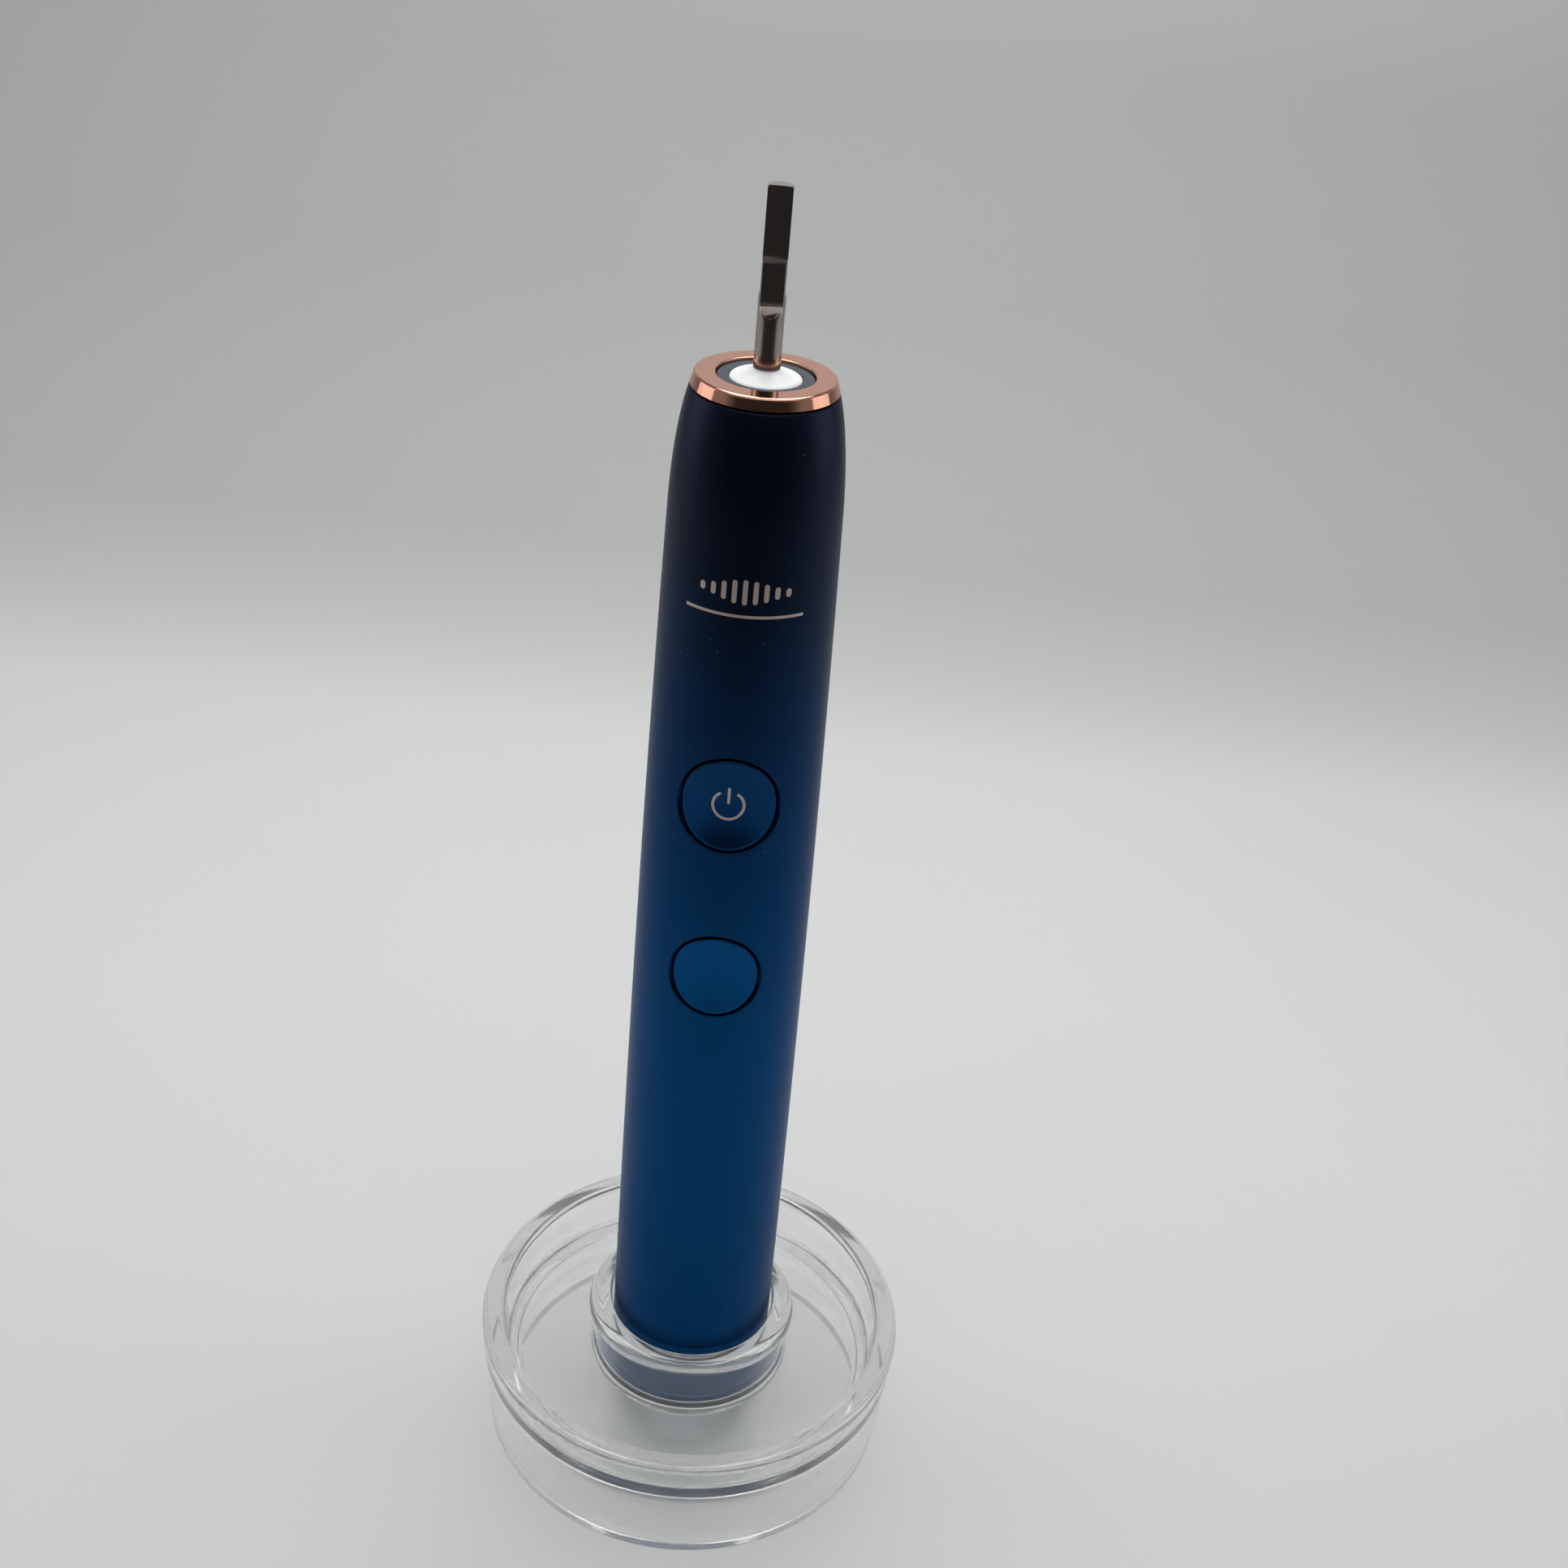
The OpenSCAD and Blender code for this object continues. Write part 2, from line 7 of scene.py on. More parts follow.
import bmesh
import bpy
from mathutils import Matrix, Vector


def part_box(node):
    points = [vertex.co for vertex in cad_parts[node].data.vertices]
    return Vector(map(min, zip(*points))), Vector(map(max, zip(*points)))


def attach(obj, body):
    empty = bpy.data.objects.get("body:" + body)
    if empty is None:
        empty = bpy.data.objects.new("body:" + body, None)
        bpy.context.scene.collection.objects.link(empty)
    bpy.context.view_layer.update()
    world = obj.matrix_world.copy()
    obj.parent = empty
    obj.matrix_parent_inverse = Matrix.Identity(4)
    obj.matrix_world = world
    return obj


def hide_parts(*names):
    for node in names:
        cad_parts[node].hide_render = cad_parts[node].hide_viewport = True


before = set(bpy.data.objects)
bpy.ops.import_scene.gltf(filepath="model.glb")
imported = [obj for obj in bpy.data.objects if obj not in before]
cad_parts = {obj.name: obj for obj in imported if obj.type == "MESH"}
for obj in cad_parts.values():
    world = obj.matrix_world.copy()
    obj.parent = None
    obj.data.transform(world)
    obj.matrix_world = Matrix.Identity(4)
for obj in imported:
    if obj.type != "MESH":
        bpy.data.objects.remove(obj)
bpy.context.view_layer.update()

MM = 0.001
ROUND = 192          # segments of a turned piece


def box_mm(node):
    """Lowest and highest corner of a CAD node, in millimetres."""
    low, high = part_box(node)
    return low / MM, high / MM


# ---------------------------------------------------------------- sizes from the frame
stand_high = box_mm("clear_stand")[1]
cap_low, cap_high = box_mm("bottom_cap")
house_low, house_high = box_mm("housing")
collar_low, collar_high = box_mm("collar_ring")
gasket_low, gasket_high = box_mm("top_gasket")
seal_low, seal_high = box_mm("shaft_seal")
shaft_low, shaft_high = box_mm("drive_shaft")

STAND_R = stand_high.x
CUP_RISE = 3.0       # how far the cup's rim stands above the stand's rim
STAND_H = stand_high.z - CUP_RISE
HANDLE_Z = cap_low.z
HANDLE_R = cap_high.x
HANDLE_L = collar_high.z - HANDLE_Z
HOUSE_LOW = house_low.z - HANDLE_Z
HOUSE_TOP = house_high.z - HANDLE_Z
WALL = 1.4           # housing wall
TAPER = 1.95         # fall of the radius along the whole handle
TAPER_POWER = 2.7
SHOULDER_DROP = 3.3  # further fall over the shoulder
SHOULDER_L = 17.2    # length of the shoulder
SHOULDER_PAST = 0.8  # how far past the collar's top the shoulder's curve would close
SHAFT_R = 1.9        # radius of the shaft's round end
NECK_R = 1.7         # radius of its neck inside the seal


def outer_r(z):
    """Radius of the handle at height z above its base."""
    start = HOUSE_TOP - SHOULDER_L
    fall = 0.0
    if z > start:
        share = min((z - start) / (HANDLE_L + SHOULDER_PAST - start), 1.0)
        fall = SHOULDER_DROP * (1 - math.sqrt(1 - share * share))
    return HANDLE_R - TAPER * (z / HANDLE_L) ** TAPER_POWER - fall


# ---------------------------------------------------------------- mesh helpers
def add_piece(name, verts, faces, body, material, replaces, sharp=40):
    """A mesh piece from millimetre points, smooth except at edges sharper than the given angle."""
    mesh = bpy.data.meshes.new(name)
    mesh.from_pydata([(x * MM, y * MM, z * MM) for x, y, z in verts], [], faces)
    work = bmesh.new()
    work.from_mesh(mesh)
    bmesh.ops.remove_doubles(work, verts=work.verts, dist=1e-7)
    bmesh.ops.recalc_face_normals(work, faces=work.faces)
    work.to_mesh(mesh)
    work.free()
    mesh.materials.append(material)
    mesh.shade_smooth()
    mesh.set_sharp_from_angle(angle=math.radians(sharp))
    piece = bpy.data.objects.new(name, mesh)
    bpy.context.scene.collection.objects.link(piece)
    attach(piece, body)
    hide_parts(*replaces)
    return piece


def arc(cx, cz, r, start, end, steps=8):
    """Points of an arc in the radius-height plane, angles in degrees."""
    turn = [math.radians(start + (end - start) * i / steps) for i in range(steps + 1)]
    return [(cx + r * math.cos(a), cz + r * math.sin(a)) for a in turn]


def held(points, margin=0.05, longest=2.5, closed=True):
    """The outline with extra points near the ends of long stretches, so that smooth shading stays true."""
    out = []
    count = len(points)
    for i in range(count if closed else count - 1):
        (r0, z0), (r1, z1) = points[i], points[(i + 1) % count]
        length = math.hypot(r1 - r0, z1 - z0)
        out.append((r0, z0))
        if length > 5 * margin:
            steps = max(1, math.ceil(length / longest))
            shares = [margin / length] + [k / steps for k in range(1, steps)] + [1 - margin / length]
            out += [(r0 + (r1 - r0) * s, z0 + (z1 - z0) * s) for s in shares]
    if not closed:
        out.append(points[-1])
    return out


def turned(outline, segments=ROUND, closed=True):
    """Verts and faces of the solid swept by an outline of (radius, height) points round Z."""
    verts, faces, rings = [], [], []
    for r, z in outline:
        if r < 1e-6:
            rings.append([len(verts)] * segments)
            verts.append((0, 0, z))
            continue
        rings.append(list(range(len(verts), len(verts) + segments)))
        verts += [(r * math.sin(2 * math.pi * k / segments), -r * math.cos(2 * math.pi * k / segments), z)
                  for k in range(segments)]
    pairs = list(zip(rings, rings[1:] + rings[:1])) if closed else list(zip(rings, rings[1:]))
    for low, high in pairs:
        for k in range(segments):
            n = (k + 1) % segments
            corners = [low[k], low[n], high[n], high[k]]
            corners = [c for i, c in enumerate(corners) if c not in corners[:i]]
            if len(corners) > 2:
                faces.append(corners)
    return verts, faces


def strip(ring_a, ring_b):
    """Quads between two closed rings of vertex numbers."""
    count = len(ring_a)
    return [(ring_a[k], ring_a[(k + 1) % count], ring_b[(k + 1) % count], ring_b[k])
            for k in range(count)]


# ---------------------------------------------------------------- material helpers
class Nodes:
    """A material's node tree with short calls to add and join nodes."""

    def __init__(self, name):
        self.material = bpy.data.materials.new(name)
        self.material.use_nodes = True
        self.tree = self.material.node_tree
        self.shader = self.tree.nodes["Principled BSDF"]

    def add(self, kind, inputs=None, **settings):
        node = self.tree.nodes.new(kind)
        for key, value in settings.items():
            setattr(node, key, value)
        for key, value in (inputs or {}).items():
            self.set(node, key, value)
        return node

    def set(self, node, key, value):
        if isinstance(value, bpy.types.NodeSocket):
            self.tree.links.new(value, node.inputs[key])
        else:
            node.inputs[key].default_value = value

    def base(self, **values):
        for key, value in values.items():
            self.set(self.shader, key.replace("_", " ").title().replace("Ior", "IOR"), value)

    def place(self, scale=(1, 1, 1)):
        """Object coordinates in millimetres, stretched by scale."""
        coords = self.add("ShaderNodeTexCoord")
        mapping = self.add("ShaderNodeMapping", {"Vector": coords.outputs["Object"],
                                                 "Scale": [1000 * s for s in scale]})
        return mapping.outputs["Vector"]

    def noise(self, size, detail=2.0, scale=(1, 1, 1)):
        """Noise whose blobs are about size millimetres across."""
        node = self.add("ShaderNodeTexNoise", {"Vector": self.place(scale), "Scale": 1 / size,
                                               "Detail": detail})
        return node.outputs["Fac"]

    def ranged(self, value, low, high, from_low=0.0, from_high=1.0):
        node = self.add("ShaderNodeMapRange", {"Value": value, "From Min": from_low, "From Max": from_high,
                                               "To Min": low, "To Max": high})
        return node.outputs["Result"]

    def mix(self, factor, a, b, blend="MIX"):
        node = self.add("ShaderNodeMix", data_type="RGBA", blend_type=blend)
        self.set(node, 0, factor)
        self.set(node, 6, a)
        self.set(node, 7, b)
        return node.outputs[2]

    def ramp(self, value, stops):
        """Colour ramp through (place, (r, g, b)) stops."""
        node = self.add("ShaderNodeValToRGB", {"Fac": value})
        elements = node.color_ramp.elements
        while len(elements) < len(stops):
            elements.new(0.5)
        for element, (place, colour) in zip(elements, stops):
            element.position = place
            element.color = (*colour, 1)
        return node.outputs["Color"]

    def maths(self, operation, a, b=0.0):
        node = self.add("ShaderNodeMath", operation=operation)
        self.set(node, 0, a)
        self.set(node, 1, b)
        return node.outputs[0]

    def bump(self, height, strength, distance_mm):
        node = self.add("ShaderNodeBump", {"Height": height, "Strength": strength,
                                           "Distance": distance_mm * MM})
        self.tree.links.new(node.outputs["Normal"], self.shader.inputs["Normal"])


def rgb(r, g, b):
    """sRGB 0-255 to linear."""
    def linear(v):
        v /= 255
        return v / 12.92 if v <= 0.04045 else ((v + 0.055) / 1.055) ** 2.4
    return linear(r), linear(g), linear(b)


# Colours of the lacquer from the handle's base to its top, as the metal's own tint: partly the lacquer's
# real blue-to-navy fade, partly painted reflection, the near-black top standing in for the dark room that
# the top mirrors
LACQUER = [(0.0, rgb(5, 64, 112)), (0.42, rgb(5, 64, 112)), (0.58, rgb(7, 56, 100)),
           (0.74, rgb(9, 42, 78)), (0.86, rgb(12, 27, 48)), (0.96, rgb(15, 20, 42)), (1.0, rgb(17, 21, 46))]
FLAKES_PER_MM = 9.0
DUST_PER_MM = 0.42   # cells that may hold a speck of dust
DUST_R = 0.035       # radius of a speck, as a share of its cell
DUST_LEFT_OUT = 0.72     # share of the cells left clean


def lacquer(name, lift=1.0, rough=(0.33, 0.41)):
    """Satin metallic lacquer that runs from blue at the base to navy black at the top, the near-black top
    partly painted reflection of the dark room in front.
    """
    m = Nodes(name)
    coords = m.add("ShaderNodeTexCoord").outputs["Object"]
    height = m.add("ShaderNodeSeparateXYZ", {"Vector": coords}).outputs["Z"]
    drift = m.ranged(m.noise(9, 1.0), -0.004, 0.004)
    along = m.ranged(m.maths("ADD", height, drift), 0, 1, HANDLE_Z * MM, (HANDLE_Z + HANDLE_L) * MM)
    # The ramp's navy-black top is partly painted reflection, darkening the top as if it mirrored the dark
    # room in front.
    tint = m.ramp(along, [(place, tuple(lift * c for c in colour)) for place, colour in LACQUER])
    flake = m.add("ShaderNodeTexVoronoi", {"Vector": m.place(), "Scale": FLAKES_PER_MM}).outputs["Color"]
    sparkle = m.ranged(m.add("ShaderNodeSeparateColor", {"Color": flake}).outputs[0], 0.86, 1.16)
    tint = m.mix(1.0, tint, m.add("ShaderNodeCombineColor", {0: sparkle, 1: sparkle, 2: sparkle}).outputs[0],
                 "MULTIPLY")
    cells = m.add("ShaderNodeTexVoronoi", {"Vector": m.place(), "Scale": DUST_PER_MM})
    rare = m.add("ShaderNodeSeparateColor", {"Color": cells.outputs["Color"]}).outputs[1]
    dust = m.maths("MULTIPLY", m.maths("LESS_THAN", cells.outputs["Distance"], DUST_R),
                   m.maths("GREATER_THAN", rare, DUST_LEFT_OUT))
    m.base(base_color=m.mix(m.maths("MULTIPLY", dust, 0.55), tint, (*rgb(150, 170, 190), 1)),
           metallic=m.maths("MULTIPLY", m.ranged(dust, 1.0, 0.2), m.ranged(along, 0.96, 0.76, 0.6, 0.95)),
           specular_tint=(0.68, 0.7, 0.76, 1), roughness=m.ranged(m.noise(0.35, 3.0), *rough))
    m.bump(m.noise(0.16, 2.0), 0.25, 0.01)
    return m.material


def polished_rose():
    m = Nodes("rose_metal")
    turned_lines = m.noise(0.05, 3.0, (0.02, 0.02, 1.0))
    smudge = m.noise(2.2, 4.0)
    m.base(base_color=m.mix(smudge, (*rgb(228, 170, 146), 1), (*rgb(216, 154, 130), 1)), metallic=1.0,
           roughness=m.ranged(smudge, 0.05, 0.12))
    m.bump(turned_lines, 0.05, 0.01)
    return m.material


def printed_rose():
    m = Nodes("rose_print")
    grain = m.noise(0.12, 3.0)
    m.base(base_color=m.mix(grain, (*rgb(212, 192, 186), 1), (*rgb(190, 170, 164), 1)), metallic=0.55,
           roughness=m.ranged(grain, 0.38, 0.5))
    m.bump(grain, 0.15, 0.01)
    return m.material


def ground_steel():
    """Polished steel with fine grinding lines along the shaft; its warm base colour is partly painted
    reflection of the brownish room it mirrors.
    """
    m = Nodes("shaft_steel")
    lines = m.noise(0.05, 3.0, (1, 1, 0.03))
    smudge = m.noise(1.4, 4.0)
    # Warm steel colours: partly the steel's own tone, partly painted reflection tinting it towards the
    # brownish room in front.
    m.base(base_color=m.mix(smudge, (*rgb(188, 176, 168), 1), (*rgb(170, 158, 150), 1)), metallic=1.0,
           roughness=m.ranged(smudge, 0.1, 0.2))
    m.bump(lines, 0.12, 0.01)
    return m.material


def let_lamps_through(m, tint):
    """Mixes in a clear shader for shadow and diffuse rays, so that what stands behind the glass is lit."""
    paths = m.add("ShaderNodeLightPath")
    clear = m.add("ShaderNodeBsdfTransparent", {"Color": (*tint, 1)}).outputs[0]
    shader = m.shader.outputs[0]
    for ray in ("Is Shadow Ray", "Is Diffuse Ray"):
        shader = m.add("ShaderNodeMixShader", {0: paths.outputs[ray], 1: shader, 2: clear}).outputs[0]
    m.tree.links.new(shader, m.tree.nodes["Material Output"].inputs["Surface"])


def clear_moulding():
    """Clear plastic with a trace of flow waviness."""
    m = Nodes("clear_moulding")
    m.base(base_color=(0.99, 0.995, 0.995, 1), roughness=m.ranged(m.noise(6, 3.0), 0.04, 0.08),
           transmission_weight=1.0, ior=1.49, alpha=0.92)
    m.bump(m.noise(14, 2.0), 0.12, 0.25)
    let_lamps_through(m, (0.95, 0.95, 0.95))
    return m.material


def soft_rubber(name, colour, rough=(0.55, 0.72)):
    m = Nodes(name)
    grain = m.noise(0.18, 4.0)
    lighter = tuple(min(1.0, c * 1.35 + 0.004) for c in colour)
    m.base(base_color=m.mix(grain, (*colour, 1), (*lighter, 1)), roughness=m.ranged(grain, *rough))
    m.bump(grain, 0.2, 0.02)
    return m.material


def white_silicone():
    m = Nodes("white_seal")
    cloud = m.noise(1.1, 4.0)
    m.base(base_color=m.mix(cloud, (*rgb(236, 237, 236), 1), (*rgb(226, 228, 228), 1)),
           roughness=m.ranged(cloud, 0.34, 0.5), subsurface_weight=0.25, subsurface_scale=0.0012)
    m.bump(m.noise(0.25, 3.0), 0.18, 0.03)
    return m.material


def moulded(name, colour, rough=(0.4, 0.55)):
    """Moulded plastic with a fine spark-eroded grain."""
    m = Nodes(name)
    grain, cloud = m.noise(0.3, 3.0), m.noise(5, 2.0)
    darker = tuple(c * 0.88 for c in colour)
    m.base(base_color=m.mix(cloud, (*colour, 1), (*darker, 1)), roughness=m.ranged(grain, *rough))
    m.bump(grain, 0.25, 0.03)
    return m.material


def metal(name, colour, rough=(0.25, 0.4), scale=(1, 1, 1), size=0.3):
    """Plain metal with a directional or cast grain."""
    m = Nodes(name)
    grain = m.noise(size, 4.0, scale)
    darker = tuple(c * 0.8 for c in colour)
    m.base(base_color=m.mix(grain, (*colour, 1), (*darker, 1)), metallic=1.0,
           roughness=m.ranged(grain, *rough))
    m.bump(grain, 0.2, 0.02)
    return m.material


def layered(name, colour, gap_colour, pitch):
    """Stacked sheets or wound wire: thin bands along Z, pitch millimetres apart."""
    m = Nodes(name)
    z = m.add("ShaderNodeSeparateXYZ", {"Vector": m.place()}).outputs["Z"]
    wave = m.maths("SINE", m.maths("MULTIPLY", z, 2 * math.pi / pitch))
    share = m.ranged(wave, 0, 1, -1, -0.4)
    m.base(base_color=m.mix(share, (*gap_colour, 1), (*colour, 1)), metallic=1.0,
           roughness=m.ranged(m.noise(0.4, 2.0), 0.3, 0.45))
    m.bump(wave, 0.4, 0.05)
    return m.material


def circuit_green():
    """Solder mask over faint square-cornered tracks."""
    m = Nodes("board_green")
    bricks = m.add("ShaderNodeTexBrick", {"Vector": m.place(), "Scale": 0.55, "Mortar Size": 0.06,
                                          "Color1": (*rgb(16, 96, 52), 1), "Color2": (*rgb(18, 84, 50), 1),
                                          "Mortar": (*rgb(40, 130, 78), 1)})
    m.base(base_color=bricks.outputs["Color"], roughness=m.ranged(m.noise(0.8, 2.0), 0.3, 0.42))
    m.bump(bricks.outputs["Fac"], 0.2, 0.03)
    return m.material


# ---------------------------------------------------------------- stand
BASE_R_IN = 1.7      # how far the side draws in towards the table
OUTER_WALL = 4.1
DECK_Z = 14.6
DECK_T = 2.8
CUP_WALL = 4.0
CUP_DRAFT = 1.9
CUP_LOW = 9.8
CUP_FLOOR = 3.2
CUP_GAP = 0.4
CUP_ROUND = 1.5      # radius on the cup's lower edge
RIM = 1.2            # radius on the stand's rim
FILLET = 1.4         # radius in the inner corners
FOOT_ROUND = 0.5     # radius on both edges of the foot
CUP_LIP = 0.48 * CUP_WALL    # radius on the outside of the cup's rim
CUP_BORE = 0.15 * CUP_WALL   # radius on its inside
CUP_CORNER = 1.6     # radius round the cup's floor


def stand_outline():
    """Section of the one-piece clear stand, anticlockwise from the foot's inner edge."""
    r_low, r_high = STAND_R - BASE_R_IN, STAND_R
    cup_in = HANDLE_R + CUP_GAP
    cup_out = cup_in + CUP_WALL
    cup_top = STAND_H + CUP_RISE
    lean = CUP_DRAFT / (cup_top - CUP_LIP - CUP_LOW)

    def cup_r(z):
        return cup_out - lean * (cup_top - CUP_LIP - z)

    deck_low = DECK_Z - DECK_T
    inner_low = r_low - OUTER_WALL
    points = arc(inner_low + FOOT_ROUND, FOOT_ROUND, FOOT_ROUND, 180, 270, 4)
    points += arc(r_low - FOOT_ROUND, FOOT_ROUND, FOOT_ROUND, 270, 360, 4)
    points += arc(r_high - RIM, STAND_H - RIM, RIM, 0, 90, 10)
    points += arc(r_high - OUTER_WALL + RIM, STAND_H - RIM, RIM, 90, 180, 10)
    corner = inner_low + BASE_R_IN / STAND_H * (DECK_Z + FILLET)
    points += arc(corner - FILLET, DECK_Z + FILLET, FILLET, 0, -90, 8)
    points += arc(cup_r(DECK_Z) + FILLET, DECK_Z + FILLET, FILLET, -90, -180, 8)
    points += arc(cup_out - CUP_LIP, cup_top - CUP_LIP, CUP_LIP, 0, 90, 12)
    points += arc(cup_in + CUP_BORE, cup_top - CUP_BORE, CUP_BORE, 90, 180, 6)
    floor_z = CUP_LOW + CUP_FLOOR
    points += arc(cup_in - 0.02 - CUP_CORNER, floor_z + CUP_CORNER, CUP_CORNER, 0, -90, 8)
    points += [(0, floor_z), (0, CUP_LOW)]
    tilt = math.atan(lean)
    foot_r = cup_r(CUP_LOW) - CUP_ROUND * (1 - math.sin(tilt)) / math.cos(tilt)
    points += arc(foot_r, CUP_LOW + CUP_ROUND, CUP_ROUND, -90, -math.degrees(tilt), 8)
    points += [(cup_r(deck_low), deck_low)] + arc(inner_low - FILLET, deck_low - FILLET, FILLET, 90, 0, 8)
    return points


def build_stand():
    outline = held(stand_outline(), 0.06, 3.0)
    verts, faces = turned(outline, 256)
    add_piece("stand_moulding", verts, faces, "stand", clear_moulding(),
              ["clear_stand"], 60)


# ---------------------------------------------------------------- housing with its two button openings
COLUMNS = 240        # columns round the housing
OPENING_COLUMNS = 34     # half width of an opening's patch, in columns
OPENING_HEIGHT = 11.5    # half height of that patch
ROW_STEP, FINE_STEP = 2.2, 1.0
FINE_FROM = 130      # height above which the rows are fine
# Places of a patch's rings between the opening's edge and its border
RINGS = [0.0, 0.05, 0.14, 0.28, 0.5, 0.75, 1.0]
# The opening's rounded edge, as how far past the opening and how deep
LIP = [(0.26, 0.0), (0.2, 0.005), (0.12, 0.03), (0.05, 0.085), (0.01, 0.16), (0.0, 0.26)]
BUTTON_GAP = 0.5     # between a button and its opening
DISH = 0.55          # depth of the hollow in a button's face
DROOP = 0.65         # how far an opening's sides hang below a true circle
FLANGE = 0.8         # how far a button's flange reaches past its opening
STEM_GAP = 0.45      # between a button's stem and the switch behind it


def opening(node):
    """Centre height above the handle's base and radius of a button's opening, from its CAD button."""
    low, high = box_mm(node)
    return (low.z + high.z) / 2 - HANDLE_Z, (high.z - low.z) / 2 - FLANGE


OPENINGS = {"power": opening("power_button"), "mode": opening("mode_button")}


def on_surface(x, z, depth):
    """Point of the front at sideways place x and height z, depth below the handle's surface."""
    r = outer_r(z) - depth
    return x, -math.sqrt(max(r * r - x * x, 0.0)), z + HANDLE_Z


def wrapped(centre, radius, angle, button_r):
    """Sideways place and height of a point of a circle wrapped round the handle, its sides drooping."""
    wrap_r = outer_r(centre)
    droop = DROOP * min(radius / button_r, 1.0) ** 2 * math.cos(angle) ** 2
    return (wrap_r * math.sin(radius * math.cos(angle) / wrap_r),
            centre + radius * math.sin(angle) - droop)


def housing_rows():
    """(height, inset) of each row of the housing's outside, with the openings' edges among them."""
    edges = {0.35 + HOUSE_LOW, HOUSE_TOP - 0.3}
    for centre, radius in OPENINGS.values():
        edges |= {centre - OPENING_HEIGHT, centre + OPENING_HEIGHT}
    stops = sorted(edges)
    heights = []
    for low, high in zip(stops, stops[1:]):
        step = FINE_STEP if low > FINE_FROM else ROW_STEP
        count = max(1, round((high - low) / step))
        heights += [low + (high - low) * i / count for i in range(count)]
    heights.append(stops[-1])
    rows = [(HOUSE_LOW, 0.7), (HOUSE_LOW, 0.12), (HOUSE_LOW + 0.04, 0.04), (HOUSE_LOW + 0.14, 0.0)]
    rows += [(z, 0.0) for z in heights]
    rows += [(HOUSE_TOP - 0.16, 0.015), (HOUSE_TOP - 0.05, 0.08), (HOUSE_TOP, 0.22), (HOUSE_TOP, 0.6)]
    return rows


def build_housing(material):
    rows = housing_rows()
    verts, faces = [], []

    def ring_point(z, inset, column):
        angle = 2 * math.pi * column / COLUMNS
        r = outer_r(z) - inset
        return r * math.sin(angle), -r * math.cos(angle), z + HANDLE_Z

    grids = []
    for depth in (0.0, WALL):
        grid = []
        for z, inset in rows:
            grid.append(range(len(verts), len(verts) + COLUMNS))
            verts += [ring_point(z, max(inset, depth), column) for column in range(COLUMNS)]
        grids.append(grid)

    def row_at(z):
        return min(range(len(rows)), key=lambda i: abs(rows[i][0] - z) + rows[i][1])

    patches = [(row_at(centre - OPENING_HEIGHT), row_at(centre + OPENING_HEIGHT), centre, radius)
               for centre, radius in OPENINGS.values()]

    def in_patch(row, column):
        sideways = min(column, COLUMNS - 1 - column) < OPENING_COLUMNS
        return sideways and any(low <= row < high for low, high, _, _ in patches)

    for grid in grids:
        for row in range(len(rows) - 1):
            for column in range(COLUMNS):
                if not in_patch(row, column):
                    after = (column + 1) % COLUMNS
                    faces.append((grid[row][column], grid[row][after],
                                  grid[row + 1][after], grid[row + 1][column]))
    faces += strip(grids[0][0], grids[1][0]) + strip(grids[0][-1], grids[1][-1])

    for low, high, centre, radius in patches:
        left, right = -OPENING_COLUMNS, OPENING_COLUMNS
        border = [(low, c) for c in range(left, right)] + [(r, right) for r in range(low, high)]
        border += [(high, c) for c in range(right, left, -1)] + [(r, left) for r in range(high, low, -1)]
        wrap_r = outer_r(centre)
        hole_rings = []
        for depth, grid in zip((0.0, WALL), grids):
            edge = [grid[r][c % COLUMNS] for r, c in border]
            rings = []
            for share in RINGS[:-1]:
                ring = []
                for r, c in border:
                    angle = 2 * math.pi * c / COLUMNS
                    z = rows[r][0]
                    around = math.atan2(z - centre, angle * wrap_r)
                    start = radius + LIP[0][0] if depth == 0.0 else radius
                    x0, z0 = wrapped(centre, start, around, radius)
                    angle0 = math.asin(x0 / outer_r(z0))
                    a = angle0 + (angle - angle0) * share
                    zz = z0 + (z - z0) * share
                    ring.append(len(verts))
                    verts.append(on_surface((outer_r(zz) - depth) * math.sin(a), zz, depth))
                rings.append(ring)
            rings.append(edge)
            for a, b in zip(rings, rings[1:]):
                faces += strip(a, b)
            hole_rings.append(rings[0])
        wall = [hole_rings[0]]
        for extra, depth in LIP[1:] + [(0.0, 0.8)]:
            ring = []
            for r, c in border:
                around = math.atan2(rows[r][0] - centre, 2 * math.pi * c / COLUMNS * wrap_r)
                x, z = wrapped(centre, radius + extra, around, radius)
                ring.append(len(verts))
                verts.append(on_surface(x, z, depth))
            wall.append(ring)
        wall.append(hole_rings[1])
        for a, b in zip(wall, wall[1:]):
            faces += strip(a, b)
    piece = add_piece("housing_shell", verts, faces, "handle", material, ["housing"], 50)
    drop_loose(piece)


def drop_loose(piece):
    """Removes the grid points that the openings' patches left without a face."""
    work = bmesh.new()
    work.from_mesh(piece.data)
    bmesh.ops.delete(work, geom=[v for v in work.verts if not v.link_faces], context="VERTS")
    work.to_mesh(piece.data)
    work.free()


# ---------------------------------------------------------------- buttons
AROUND = 144         # points round a button
FACE_RINGS = (0.06, 0.14, 0.24, 0.34, 0.44, 0.54, 0.64, 0.74, 0.84, 0.91)    # shares of its radius
BACK_RINGS = (1.0, 0.85, 0.7, 0.55, 0.4, 0.28)       # shares of its flange's radius
FLANGE_FRONT, FLANGE_BACK = WALL + 0.4, WALL + 1.3   # depths of the flange's two faces
STEM_R = 1.5
# A button's rounded edge, as how far inside its outline and how deep
EDGE = [(0.34, 0.0), (0.22, 0.008), (0.12, 0.035), (0.05, 0.085), (0.01, 0.15), (0.0, 0.24)]


def button_depth(centre, radius, z):
    """How far the hollowed face lies below the handle's surface."""
    share = min(abs(z - centre) / radius, 1.0)
    return DISH * (1 - share * share)


